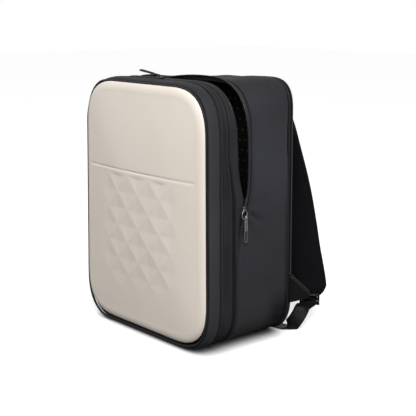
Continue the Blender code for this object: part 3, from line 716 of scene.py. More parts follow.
def cloth_material(name, dark, light, threads, roughness=0.8, sheen=0.25, depth=0.00025, specular=0.3,
                   tone_scale=9.0):
    """Woven cloth: threads from the cloth's own UV map, its tone between two colours, all of it
    times the piece's own painted light and shading per point, which also scales its gloss and sheen."""
    made, tree, shader = bare_material(name, roughness, sheen=sheen, specular=specular)
    # Painted light and shading per point, read from the piece; it scales colour, gloss and sheen alike
    shade = node(tree, "Attribute", attribute_name="shade").outputs["Fac"]
    uv = node(tree, "UVMap", uv_map="cloth").outputs[0]
    place = node(tree, "TexCoord").outputs["Object"]
    weave = placed(tree, WEAVE, Vector=uv, Threads_per_metre=threads)
    tone = placed(tree, UNEVENNESS, Vector=place, Scale=tone_scale)
    share = math(tree, "ADD", ranged(tree, tone.outputs["Tone"], 0.3, 0.7, 0.0, 0.55),
                 ranged(tree, weave.outputs["Shade"], 0.3, 0.7, 0.0, 0.35))
    share = math(tree, "MULTIPLY_ADD", weave.outputs["Height"], 0.25, share)
    full = mixed(tree, share, dark, light)
    tree.links.new(node(tree, "VectorMath", [(0, full), (3, shade)], operation="SCALE").outputs[0],
                   shader.inputs["Base Color"])
    tree.links.new(math(tree, "MULTIPLY", shade, specular), shader.inputs["Specular IOR Level"])
    tree.links.new(math(tree, "MULTIPLY", shade, sheen), shader.inputs["Sheen Weight"])
    bumped(tree, shader, weave.outputs["Height"], depth, 0.6)
    return made


def shell_material():
    made, tree, shader = bare_material("moulded_cream", 0.5, specular=0.4)
    place = node(tree, "TexCoord").outputs["Object"]
    grain = placed(tree, GRAIN, Vector=place, Scale=1400.0)
    tone = placed(tree, UNEVENNESS, Vector=place, Scale=6.0)
    colour = mixed(tree, ranged(tree, tone.outputs["Tone"], 0.3, 0.7),
                   (0.705, 0.634, 0.562), (0.742, 0.671, 0.600))
    tree.links.new(colour, shader.inputs["Base Color"])
    tree.links.new(ranged(tree, grain.outputs["Mask"], 0.3, 0.7, 0.46, 0.60), shader.inputs["Roughness"])
    bumped(tree, shader, grain.outputs["Height"], 0.00006, 0.5)
    return made


def grained_material(name, dark, light, roughness, metallic=0.0, scale=1800.0, specular=0.5):
    """Moulded plastic or plated metal with a fine grain."""
    made, tree, shader = bare_material(name, roughness, metallic=metallic, specular=specular)
    place = node(tree, "TexCoord").outputs["Object"]
    grain = placed(tree, GRAIN, Vector=place, Scale=scale)
    tree.links.new(mixed(tree, grain.outputs["Mask"], dark, light), shader.inputs["Base Color"])
    tree.links.new(ranged(tree, grain.outputs["Mask"], 0.3, 0.7, roughness - 0.08, roughness + 0.1),
                   shader.inputs["Roughness"])
    bumped(tree, shader, grain.outputs["Height"], 0.00005, 0.4)
    return made


def lining_material():
    """Black lining with staggered small tan dots: cells of 12.5 mm along X + Y and 17 mm along Z, a
    dot where the distance from a cell's middle is small."""
    made, tree, shader = bare_material("lining_cloth", 0.7, sheen=0.1, specular=0.2)
    place = node(tree, "TexCoord").outputs["Object"]
    split = node(tree, "SeparateXYZ", [(0, place)])
    level = math(tree, "DIVIDE", split.outputs[2], DOT_CELL_HEIGHT)
    row = math(tree, "FLOOR", level)
    shift = math(tree, "MULTIPLY", math(tree, "MODULO", math(tree, "ABSOLUTE", row), 2.0), 0.5)
    run = math(tree, "DIVIDE", math(tree, "ADD", split.outputs[0], split.outputs[1]), DOT_CELL_WIDTH)
    aside = math(tree, "ADD", run, shift)
    du = math(tree, "MULTIPLY", math(tree, "SUBTRACT", math(tree, "FRACT", aside), 0.5), DOT_CELL_WIDTH)
    dv = math(tree, "MULTIPLY", math(tree, "SUBTRACT", math(tree, "FRACT", level), 0.5), DOT_CELL_HEIGHT)
    square = math(tree, "ADD", math(tree, "MULTIPLY", du, du), math(tree, "MULTIPLY", dv, dv))
    away = math(tree, "SQRT", square)
    # Painted shading: the dots fade out deep down inside the bag and just below its top
    lit = math(tree, "MULTIPLY", ranged(tree, split.outputs[2], 0.25, 0.36, 0.35, 1.0),
               ranged(tree, split.outputs[2], 0.385, 0.398, 1.0, 0.0))
    dot = math(tree, "MULTIPLY", lit, ranged(tree, away, 0.0010, 0.0018, 1.0, 0.0))
    tree.links.new(mixed(tree, dot, (0.003, 0.003, 0.0035), (0.20, 0.16, 0.11)), shader.inputs["Base Color"])
    tone = placed(tree, UNEVENNESS, Vector=place, Scale=30.0)
    bumped(tree, shader, tone.outputs["Tone"], 0.0006, 0.5)
    return made


def mesh_material():
    """Spacer mesh: a staggered field of small holes between knitted threads."""
    made, tree, shader = bare_material("black_mesh", 0.85, sheen=0.03, specular=0.10)
    uv = node(tree, "UVMap", uv_map="cloth").outputs[0]
    place = node(tree, "TexCoord").outputs["Object"]
    holes = node(tree, "TexVoronoi", [("Vector", uv), ("Scale", 420.0), ("Randomness", 0.25)])
    tone = placed(tree, UNEVENNESS, Vector=place, Scale=12.0)
    share = ranged(tree, holes.outputs["Distance"], 0.1, 0.5)
    low = mixed(tree, tone.outputs["Tone"], (0.002, 0.002, 0.003), (0.004, 0.004, 0.005))
    high = mixed(tree, tone.outputs["Tone"], (0.004, 0.004, 0.005), (0.007, 0.007, 0.009))
    tree.links.new(mixed(tree, share, low, high), shader.inputs["Base Color"])
    bumped(tree, shader, holes.outputs["Distance"], 0.0004, 0.6)
    return made


CREAM = shell_material()
CLOTH_SIDE = cloth_material("black_cloth", (0.0165, 0.0168, 0.0208), (0.0245, 0.0252, 0.0312), 1500.0,
                            sheen=0.06)
CLOTH_RIBBED = cloth_material("ribbed_cloth", (0.0080, 0.0080, 0.0096), (0.0145, 0.0145, 0.0172), 1500.0,
                              sheen=0.04)
ZIP_TAPE = cloth_material("zip_tape", (0.0120, 0.0122, 0.0146), (0.0190, 0.0195, 0.0232), 900.0,
                          sheen=0.05, depth=0.0004)
TRIM = cloth_material("black_trim", (0.005, 0.005, 0.006), (0.010, 0.010, 0.012), 700.0, roughness=0.6,
                      sheen=0.05)
LIGHT_PIPING = cloth_material("light_piping", (0.026, 0.027, 0.031), (0.040, 0.041, 0.046), 900.0,
                              roughness=0.5, sheen=0.1)
WEBBING = cloth_material("webbing", (0.0022, 0.0022, 0.0028), (0.0050, 0.0052, 0.0062), 620.0, roughness=0.40,
                         sheen=0.03, depth=0.0005, specular=0.17)
TAB_CLOTH = cloth_material("tab_cloth", (0.0024, 0.0024, 0.0030), (0.0052, 0.0054, 0.0066), 1100.0,
                           sheen=0.02, specular=0.12)
TEETH = grained_material("zip_teeth", (0.012, 0.012, 0.013), (0.022, 0.022, 0.025), 0.35)
PLASTIC = grained_material("black_plastic", (0.004, 0.004, 0.005), (0.007, 0.007, 0.009), 0.36, specular=0.24)
METAL = grained_material("dark_metal", (0.30, 0.30, 0.31), (0.46, 0.46, 0.47), 0.26, metallic=0.6)
DARK_METAL = grained_material("dark_slider", (0.10, 0.10, 0.11), (0.16, 0.16, 0.17), 0.30, metallic=1.0)
LOOP_CORD = cloth_material("loop_cord", (0.060, 0.060, 0.066), (0.120, 0.120, 0.130), 700.0,
                           roughness=0.5, sheen=0.1)
LINING_CLOTH = lining_material()
MESH = mesh_material()
THREAD = cloth_material("thread", (0.020, 0.020, 0.023), (0.040, 0.041, 0.045), 1500.0, roughness=0.6)


# Front tray


def star_rows(ring, shares):
    """Rows of a closed outline drawn towards its middle by the given shares of the way out."""
    middle = np.array([0.0, (ring[:, 1].min() + ring[:, 1].max()) / 2])
    return middle + np.asarray(shares)[:, None, None] * (ring - middle)


def lozenge_relief(x, z):
    """Depth of the faceted dents: 1 - |dx| / a - |dz| / b within each lozenge of half sizes a and b,
    in staggered rows, faded out towards the sides and the foot."""
    u, v = x / LOZENGE_HALF_WIDTH, (LOZENGE_TOP - z) / LOZENGE_HALF_HEIGHT
    dent = np.minimum(np.abs((u + v) % 2 - 1), np.abs((u - v) % 2 - 1))
    fade = smooth_step((0.106 - np.abs(x)) / 0.036) * smooth_step((z - 0.058) / 0.060)
    fade = fade * smooth_step((LOZENGE_TOP + 0.002 - z) / 0.006)
    return dent * fade


def front_shell():
    """Tray: an edge rounded like a quarter ellipse, a domed face, a groove across it and faceted
    dents below the groove; the inner face a wall behind."""
    out = outward(SHELL_RING)
    angle = np.linspace(0, np.pi / 2, 22)
    inset = SHELL_EDGE_ROUNDING * (1 - np.cos(angle))
    edge = SHELL_RING - out * inset[:, None, None]
    edge_rise = SHELL_EDGE_DEPTH * np.sin(angle)
    shares = np.linspace(1, 0, 118) ** 0.85
    face = star_rows(edge[-1], shares[1:-1])
    x, z = face[..., 0], face[..., 1]
    dome = SHELL_CROWN * (1 - shares[1:-1, None] ** 2.1) + 0 * x
    relief = LOZENGE_DEPTH * lozenge_relief(x, z)
    groove = GROOVE_DEPTH * bell(z - GROOVE_HEIGHT, GROOVE_WIDTH / 2)
    groove = groove * smooth_step((GROOVE_REACH - np.abs(x)) / 0.006)
    face_rise = SHELL_EDGE_DEPTH + dome - relief - groove
    flat = np.concatenate([edge, face])
    rise = np.concatenate([np.broadcast_to(edge_rise[:, None], edge.shape[:2]), face_rise])
    outer = at_depth(flat, -rise)
    insets = np.array([SHELL_WALL, SHELL_WALL + 0.001, 0.011, 0.018])[:, None, None]
    inner_rings = np.concatenate([SHELL_RING - out * insets, star_rows(edge[-1], (0.85, 0.6, 0.3, 0.05))])
    domed = [SHELL_EDGE_DEPTH + SHELL_CROWN * share - SHELL_WALL for share in (0.28, 0.64, 0.9, 1.0)]
    inner_rise = np.array([0.0, 0.0012, SHELL_EDGE_DEPTH - SHELL_WALL - 0.0008,
                           SHELL_EDGE_DEPTH - SHELL_WALL, *domed])
    inner = at_depth(inner_rings, -inner_rise[:, None])
    row_piece("moulded_front", np.concatenate([outer[::-1], inner]), CREAM, nodes=["front_shell"],
              slot="moulded_cream")


# Cloth body

OPEN = smooth_step((WAY + 0.22) / 0.15)


def seam_dip(depth, places, width=0.0011, size=0.0021):
    """Narrow valleys where cloth is sewn at the given depths."""
    return size * sum(bell(depth - at, width) for at in places)


def painted_light_at(points, column):
    """A column of the table of painted light at the points' heights."""
    return np.interp(points[..., 2], PAINTED_LIGHT_BY_HEIGHT[:, 0], PAINTED_LIGHT_BY_HEIGHT[:, column])


def long_valley(depth):
    """Fold along the seam between ribbed band and main zip, as an inset and as painted shading in the
    fold: wide and flat up to the slider, narrow and further ahead above it."""
    start, end = VALLEY - 1.2 * VALLEY_HALF, VALLEY + VALLEY_HALF
    within = smooth_step((depth - start) / 0.004) * smooth_step((end - depth) / 0.002)
    # The second share is painted shading in the fold
    return 0.0022 * within, 1 - 0.50 * within


def body_bands():
    """Front gusset, closed front zip and ribbed band."""
    depth = rows_between(EDGE_PIPING, FRONT_ZIP_START - GAP, np.linspace(0, 1, 22))
    base = skin(depth, 0)
    inset = edge_inset(depth) + seam_dip(depth, [FRONT_ZIP_START])
    inset = inset - 0.0004 * ripple(base, 3, 0.07) + 0.0002
    # Painted light by height, painted shading in the seam at the front zip, and a little random tone
    shade = painted_light_at(base, 1) * (1 - 0.25 * bell(depth - FRONT_ZIP_START, 0.0012))
    shade = shade + 0.04 * ripple(base, 4, 0.09)
    cloth_band("front_gusset_cloth", depth, inset, CLOTH_SIDE, shade=shade, nodes=["front_gusset"],
               slot="black_cloth")

    end = FRONT_ZIP_START + FRONT_ZIP_WIDTH
    depth = rows_between(FRONT_ZIP_START, end, np.linspace(0, 1, 15))
    base = skin(depth, 0)
    inset = (0.0012 + 0.0016 * bell(depth - FRONT_ZIP_LINE, 0.0008)
             - 0.0011 * bell(depth - FRONT_ZIP_RIDGE, 0.0011))
    # Painted light by height and painted shading in the zip's groove
    shade = painted_light_at(base, 1) * (0.92 - 0.65 * bell(depth - FRONT_ZIP_LINE, 0.0012))
    cloth_band("front_zip_tape", depth, inset + 0 * WAY, CLOTH_SIDE, shade=shade, nodes=["front_zip"],
               slot="zip_tape")

    depth = rows_between(end + GAP, RIBBED_BAND_END, np.linspace(0, 1, 50))
    base = skin(depth, 0)
    inset = 0.0006 + seam_dip(depth, [end]) - 0.0005 * ripple(base, 6, 0.05)
    # Painted shading in the seam at its front edge, in each rib's groove and in the long fold, with a little
    # random tone
    shade = 1.06 - 0.30 * bell(depth - end, 0.0014) + 0.06 * ripple(base, 7, 0.06)
    valley, dark = long_valley(depth)
    for place, wide, deep in ((0.16, 0.0012, 0.9), (0.36, 0.0016, 1.1), (0.60, 0.0015, 1.2)):
        line = end + (VALLEY - end) * place + 0.0009 * ripple(base[:1], 50 + int(100 * place), 0.11)
        uneven = deep + 0.5 * ripple(base[:1], 90 + int(100 * place), 0.09)
        inset = inset + 0.0011 * uneven * bell(depth - line, wide)
        # Painted shading in the rib's groove
        shade = shade - 0.20 * uneven * bell(depth - line, wide)
    cloth_band("ribbed_band", depth, inset + valley, CLOTH_RIBBED, shade=shade * dark,
               nodes=["middle_gusset"], slot="black_cloth")


def main_zip():
    """Both tapes of the main zip. Above the sliders they end in the mouth's edges, where each is
    folded over; the rear one stands a little proud."""
    start = RIBBED_BAND_END + GAP
    shares = np.linspace(0, 1, 26)
    depth = rows_between(start, MOUTH_FRONT - GAP / 2, shares)
    base = skin(depth, 0)
    from_edge = MOUTH_FRONT - depth
    pinch = bell(WAY + 0.075, 0.045)
    inset = 0.0008 - 0.0007 * bell(from_edge - 0.0022, 0.0016) + 0.0028 * pinch * bell(from_edge, 0.0028)
    inset = inset + 0.0006 * smooth_step(1 - from_edge / 0.0012) - 0.0005 * ripple(base, 8, 0.05)
    valley, dark = long_valley(depth)
    # Painted highlight on the ridge behind the long fold, painted shading at the mouth's edge, and painted
    # shadow of the fold beside the pull, with a little random tone
    shade = (0.94 + 0.12 * bell(depth - VALLEY - VALLEY_HALF - 0.002, 0.0015) + 0.05 * ripple(base, 9, 0.05)
             - 0.25 * bell(from_edge, 0.0016)) * (1 - 0.95 * pinch * bell(from_edge, 0.0042))
    cloth_band("main_zip_front", depth, inset + valley, ZIP_TAPE, wall=TAPE, shade=shade * dark,
               nodes=["main_zip_front_tape"], slot="zip_tape")

    end = np.maximum(REAR_SEAM - GAP, MOUTH_REAR + 0.0015)
    depth = rows_between(MOUTH_REAR, end, shares)
    from_edge = depth - MOUTH_REAR
    flare = FLARE * (1 - (1 - FLARE_AT_SEAM) * shares)[:, None]
    inset = 0.0008 - 0.0008 * bell(from_edge - 0.0020, 0.0014) + seam_dip(depth, [REAR_SEAM], 0.0014, 0.0026)
    inset = inset + 0.0022 * pinch * bell(from_edge, 0.0025)
    # Painted shading in the rear seam where the mouth is open, and painted shadow of the fold beside the pull
    shade = 1.10 - 0.75 * OPEN * bell(depth - REAR_SEAM, 0.0022)
    shade = shade * (1 - 0.75 * pinch * bell(from_edge, 0.0016))
    cloth_band("main_zip_rear", depth, inset - flare, ZIP_TAPE, wall=TAPE, shade=shade,
               nodes=["main_zip_rear_tape"], slot="zip_tape")


def rear_body():
    """Rear gusset with soft folds: broad unevenness, creases that fan back from each slider, and
    puckers along the back seam low down."""
    shares = np.concatenate([np.linspace(0, 0.12, 15)[:-1], np.linspace(0.12, 0.80, 42)[:-1],
                             np.linspace(0.80, 1, 20)])
    depth = rows_between(REAR_SEAM, BACK_SEAM, shares)
    base = skin(depth, 0)
    height = base[..., 2]
    behind = depth - REAR_SEAM
    inset = (0.0004 + seam_dip(depth, [REAR_SEAM], 0.0014, 0.0026)
             + seam_dip(depth, [BACK_SEAM], 0.0018, 0.0013))
    inset = inset + 0.0009 * smooth_step((depth - 0.158) / (BACK_SEAM - 0.158)) ** 2
    inset = inset - FLARE_AT_SEAM * FLARE * smooth_step(1 - behind / 0.034)
    inset = inset - 0.0012 * ripple(base, 11, 0.16) - 0.0006 * ripple(base, 12, 0.06)
    # Painted light by height with a little random tone, and painted shading along the rear seam where the
    # mouth is open
    shade = painted_light_at(base, 2) + 0.04 * ripple(base, 13, 0.11)
    shade = shade * (1 - OPEN * 0.65 * np.exp(-np.maximum(behind, 0) / 0.0026))
    for depth_0, height_0, depth_1, height_1, width, size in CREASES:
        run = np.array([depth_1 - depth_0, height_1 - height_0])
        at = np.clip(((depth - depth_0) * run[0] + (height - height_0) * run[1]) / (run @ run), 0, 1)
        away = np.hypot(depth - depth_0 - at * run[0], height - height_0 - at * run[1])
        fold = size * bell(away, width) * (1 - 0.7 * at) * (np.abs(base[..., 0]) > 0.10)
        inset = inset - fold
        # Painted light on the raised creases and painted shading in the sunk ones
        shade = shade * (1 + 130 * fold)
    low = smooth_step((0.10 - height) / 0.08)
    pucker = 0.0009 * low * np.sin(height * 2 * np.pi / PUCKER_LENGTH + behind * 40)
    inset = inset + pucker * smooth_step((depth - 0.13) / 0.03)
    # Painted shading where the cloth rounds off towards the back seam, more of it low down
    edge_start = 0.161 + 0.010 * smooth_step((height - 0.22) / 0.08)
    edge_dark = 0.55 + 0.20 * smooth_step((0.15 - height) / 0.06)
    shade = shade * (1 - edge_dark * smooth_step((depth - edge_start) / (BACK_SEAM + 0.002 - edge_start)))
    # Painted shading low down at the back, where the cloth turns under at the corner
    shade = shade * (1 - 0.62 * smooth_step((0.095 - height) / 0.050) * smooth_step((depth - 0.115) / 0.042))
    cloth_band("rear_cloth", depth, inset, CLOTH_SIDE, shade=shade, nodes=["rear_gusset"], slot="black_cloth")


def piping():
    """Cord between tray and cloth, pressed out at the left and less so at its upper corner, and both
    cords of the back seam, of which the hind one is lighter."""
    proud = CORD_PRESSED_OUT * smooth_step((-FRONT_RING[:, 0] - 0.08) / 0.04)
    proud = CORD_PROUD + proud * (1 - 0.45 * smooth_step((FRONT_RING[:, 1] - 0.345) / 0.035))
    radius = (EDGE_PIPING - 2 * GAP) / 2
    middle = skin(np.array([[EDGE_PIPING / 2]]), (SHELL_SIDE_MARGIN - proud + radius)[None])[0]
    round_cord("shell_cord", middle, radius, TRIM, closed=True, nodes=["shell_piping"], slot="black_trim")
    radius = (BACK_PIPING - 2 * GAP) / 2
    middle = skin(np.array([[BACK_SEAM + BACK_PIPING / 2]]), BACK_PIPING / 2 + 0.0006)[0]
    round_cord("back_cord", slump(middle), radius, TRIM, closed=True, nodes=["back_piping"],
               slot="black_trim")
    middle = skin(np.array([[BACK_SEAM + BACK_PIPING + 0.0034]]), BACK_EDGE_INSET - 0.0009)[0]
    round_cord("back_edge_cord", slump(middle), 0.0010, LIGHT_PIPING, closed=True, slot="black_trim")


def back_panel():
    """Padded panel: a rounded edge, and behind it two tall pads and a lumbar pad parted by channels."""
    front = BACK_SEAM + BACK_PIPING + 2 * GAP
    ring = BACK_RING
    out = outward(ring)
    angle = np.linspace(0, np.pi / 2, 12)
    inset = BACK_EDGE_INSET + 0.9 * BACK_ROUNDING * (1 - np.cos(angle))
    depth = front + 0.003 + (BODY_DEPTH - front - 0.003) * np.sin(angle)
    edge = ring - out * inset[:, None, None]
    shares = np.linspace(1, 0, 92) ** 0.9
    face = star_rows(edge[-1], shares[1:-1])
    x, z = face[..., 0], face[..., 1]
    across = bell(np.abs(z - 0.215) - 0.075, 0.006) * smooth_step((0.125 - np.abs(x)) / 0.02)
    channel = np.clip(bell(x, 0.010) + across, 0, 1)
    rim = bell(shares[1:-1, None] - 0.93, 0.02)
    soft = 1 + ripple(np.stack([x, 0 * x, z], axis=-1), 21, 0.05)
    face_depth = BODY_DEPTH - (0.0038 * channel + 0.0015 * rim + 0.0004 * soft)
    insets = np.array([0.030, 0.012, BACK_EDGE_INSET])[:, None, None]
    flat = np.concatenate([ring[None] - out * insets, edge, face])
    levels = np.concatenate([np.broadcast_to(front, (3, ROUND)),
                             np.broadcast_to(depth[:, None], edge.shape[:2]), face_depth])
    rows = slump(at_depth(flat, levels))
    piece = row_piece("back_pad", rows, MESH, nodes=["back_panel"], slot="black_mesh")


def lining():
    """Lining: a thin tray against the gusset and the back panel, its back a little slack."""
    near = CLOTH + GAP + 0.0012
    back = BACK_SEAM + BACK_PIPING + GAP
    start = np.maximum(REAR_SEAM + 0.003, LINING_START)
    walls = rows_between(start, BACK_SEAM - 0.004, np.linspace(0, 1, 12))
    slack = 0.0008 * (1 + ripple(skin(walls, 0), 31, 0.06))
    side = skin(walls, near + slack)
    bend = skin(np.array([[BACK_SEAM], [back - 0.0008]]), np.array([[near + 0.002], [near + 0.006]]))
    ring = BACK_RING - outward(BACK_RING) * (near + 0.006)
    shares = np.linspace(1, 0.02, 40)
    face = star_rows(ring, shares[1:])
    spots = np.stack([face[..., 0], 0 * face[..., 0], face[..., 1]], axis=-1)
    face = at_depth(face, back - 0.0006 - 0.0012 * (1 + ripple(spots, 32, 0.07)))
    inner = np.concatenate([side, bend, face])
    outer_side = skin(walls[::4], near - 0.0008)
    outer_bend = skin(np.array([[BACK_SEAM + 0.001], [back]]), np.array([[near], [near + 0.004]]))
    flat = star_rows(ring, (0.8, 0.4, 0.02))
    outer_face = at_depth(flat, back)
    outer = np.concatenate([outer_side, outer_bend, outer_face])
    row_piece("dotted_lining", slump(np.concatenate([inner[::-1], outer])), LINING_CLOTH, nodes=["lining"],
              slot="lining_cloth")


def at_pitch(rows, pitch):
    """Rows given one per point of the outline, read again at even steps of length round it."""
    number = np.arange(ROUND + 1)
    column = np.interp(np.arange(0, RING_TRAVEL[-1] - pitch / 2, pitch), RING_TRAVEL, number)
    closed = np.concatenate([rows, rows[:1]])
    return np.stack([np.interp(column, number, closed[:, k]) for k in range(rows.shape[1])], axis=1)


def line_round(depth, inset, pitch):
    """Points of a line round the cloth at even steps, its direction there and the way out."""
    line = slump(skin((depth + 0 * WAY)[None], (inset + 0 * WAY)[None])[0])
    ahead = np.roll(line, -1, axis=0) - np.roll(line, 1, axis=0)
    flat = outward(FRONT_RING)
    out = np.stack([flat[:, 0], 0 * WAY, flat[:, 1]], axis=1)
    return at_pitch(line, pitch), at_pitch(ahead, pitch), at_pitch(out, pitch)


def zip_teeth():
    """Teeth of both zips: small blocks square to the zip's run, single rows on the mouth's edges,
    and one closed row where the tapes meet."""
    above = WAY > 0.02
    for name, depth, inset, size, keep in (
            ("front_zip_teeth", FRONT_ZIP_LINE, 0.0028, (0.0011, 0.0014, 0.0010), np.ones(ROUND)),
            ("closed_teeth", MOUTH_FRONT, 0.0014, (0.0011, 0.0026, 0.0012), WAY < -0.14),
            ("mouth_front_teeth", MOUTH_FRONT + 0.0005, 0.0012, (0.0011, 0.0018, 0.0012), above),
            ("mouth_rear_teeth", MOUTH_REAR - 0.0005, 0.0012 - FLARE, (0.0011, 0.0018, 0.0012), above)):
        chosen = at_pitch(np.asarray(keep, float)[:, None], TOOTH_PITCH)[:, 0] > 0.5
        middles, ahead, out = (rows[chosen] for rows in line_round(depth, inset, TOOTH_PITCH))
        small_blocks(name, middles, ahead, out, size, TEETH, slot="zip_tape")


def seam_stitches():
    """Rows of stitches behind the rear seam and before the front zip."""
    seams = ((REAR_SEAM + 0.0036, 0.0004 - FLARE_AT_SEAM * FLARE), (FRONT_ZIP_START - 0.0042, 0.0))
    lines = [line_round(depth, inset, STITCH_PITCH) for depth, inset in seams]
    middles, ahead, out = (np.concatenate(kind) for kind in zip(*lines))
    small_blocks("seam_stitches", middles, ahead, out, STITCH_SIZE, THREAD, slot="black_trim")


# Straps, locks and webbing


def word(side):
    return "right" if side > 0 else "left"


def mirrored(points, side):
    return np.asarray(points) * (side, 1.0, 1.0)


def strap_frame(count):
    """Middle line of the right strap and the unit vectors across it."""
    down, back, out, turn = STRAP_LINE.T
    root = BODY_DEPTH - BASE_TO_RIM + GAP
    line = np.stack([STRAP_TOP_X + (STRAP_FOOT_X - STRAP_TOP_X) * out, root + STRAP_STANDOFF * back,
                     STRAP_TOP - (STRAP_TOP - STRAP_FOOT) * down, STRAP_TURN * turn], axis=1)
    line = along(line, count)
    across = np.stack([np.cos(line[:, 3]), np.sin(line[:, 3]), np.zeros(len(line))], axis=1)
    ahead = unit(np.gradient(line[:, :3], axis=0))
    across = unit(across - (across * ahead).sum(axis=1, keepdims=True) * ahead)
    return line[:, :3], across, np.cross(ahead, across)


def shoulder_strap(side):
    """Padded strap: a rounded flat section carried down the middle line, a sewn channel inside its
    edge on both faces, and a rounded foot."""
    middle, across, through = strap_frame(150)
    share = np.linspace(0, 1, len(middle))
    foot = np.sqrt(np.clip((1.0005 - share) / 0.05, 0.0, 1))
    half_width = (STRAP_HALF_WIDTH * (1.03 - 0.10 * share) * np.clip(0.35 + 0.65 * foot, 0, 1))[:, None]
    half_thick = (STRAP_THICKNESS / 2 * np.clip((1.03 - share) / 0.07, 0.55, 1))[:, None]
    turn = np.arange(64) * 2 * np.pi / 64
    u = np.sign(np.cos(turn)) * np.abs(np.cos(turn)) ** 0.5
    v = np.sign(np.sin(turn)) * np.abs(np.sin(turn)) ** 0.62
    from_edge = half_width * (1 - np.abs(u))
    channel = 1 - 0.26 * bell(from_edge - 0.0055, 0.0016)
    crown = 0.86 + 0.14 * smooth_step(from_edge / 0.020)
    spots = middle[:, None] + across[:, None] * (u * half_width)[..., None]
    soft = 1 + 0.06 * ripple(spots, 41, 0.05)
    rows = spots + through[:, None] * (v * half_thick * channel * crown * soft)[..., None]
    rows[0, :, 1] = middle[0, 1]
    piece = row_piece(f"padded_strap_{word(side)}", mirrored(rows, side), MESH,
                      nodes=[f"shoulder_strap_{word(side)}"], slot="black_mesh")


def lock_frame():
    """Middle of the right ladder lock, the unit vector across it, and the one out of its face."""
    across = np.array([np.cos(STRAP_TURN), np.sin(STRAP_TURN), 0.0])
    face = np.array([np.sin(STRAP_TURN), -np.cos(STRAP_TURN), 0.0])
    foot = np.array([STRAP_FOOT_X, BODY_DEPTH - BASE_TO_RIM + GAP + STRAP_STANDOFF, STRAP_FOOT])
    off = STRAP_THICKNESS / 2 * 0.6 + LOCK_THICKNESS / 2 + LOCK_BAR * 0.85 + WEBBING_THICKNESS / 2
    return foot + face * off - (0.0, 0.0, LOCK_DROP), across, face


def webbing_start():
    centre, _, face = lock_frame()
    return centre + face * LOCK_TO_TAB + (0.0, 0.0, 3 * LOCK_BAR)


def flat_band(middle, across, half_width, half_thick, columns=11):
    """Rows of a flat band with rounded edges: there and back across its width."""
    ahead = unit(np.gradient(middle, axis=0))
    across = unit(across - (across * ahead).sum(axis=1, keepdims=True) * ahead)
    through = np.cross(ahead, across)
    u = np.linspace(-1, 1, columns)
    level = half_thick * np.where(np.abs(u) > 0.98, 0.45, 1.0)
    u = np.concatenate([u, u[::-1]]) * np.broadcast_to(half_width, (len(middle), 1))
    level = np.concatenate([level, -level[::-1]])
    return middle[:, None] + across[:, None] * u[..., None] + through[:, None] * level[:, None]


def strap_webbing(side):
    """Webbing through the lock and its tail to the floor."""
    centre, _, face = lock_frame()
    lift = WEBBING_THICKNESS / 2 + GAP
    half = LOCK_THICKNESS / 2
    through = [(LOCK_TO_TAB, 3 * LOCK_BAR), (half + WEBBING_CLEAR, 1.25 * LOCK_BAR), (-half, LOCK_BAR),
               (-half - 0.85 * LOCK_BAR, 0.0), (-half, -LOCK_BAR), (half + WEBBING_CLEAR, -LOCK_BAR)]
    upper = [np.concatenate([centre + face * out + (0, 0, up), [STRAP_TURN]]) for out, up in through]
    shift, turn = WEBBING_TAIL[:, :3] * WEBBING_WIDTH, np.radians(WEBBING_TAIL[:, 3])
    lower = [np.concatenate([centre + move, [STRAP_TURN + angle]]) for move, angle in zip(shift, turn)]
    line = along(upper + lower, 150)
    line[:, 2] = np.maximum(line[:, 2], lift)
    across = np.stack([np.cos(line[:, 3]), np.sin(line[:, 3]), np.zeros(len(line))], axis=1)
    at_lock = bell(np.linalg.norm(line[:, :3] - centre, axis=1), 0.009)[:, None]
    rows = flat_band(line[:, :3], across, WEBBING_WIDTH / 2 + 0.0009 * at_lock, WEBBING_THICKNESS / 2)
    rows[..., 2] = np.maximum(rows[..., 2], 0.0001)
    row_piece(f"webbing_{word(side)}", mirrored(rows, side), WEBBING, nodes=[f"strap_webbing_{word(side)}"],
              slot="black_trim")


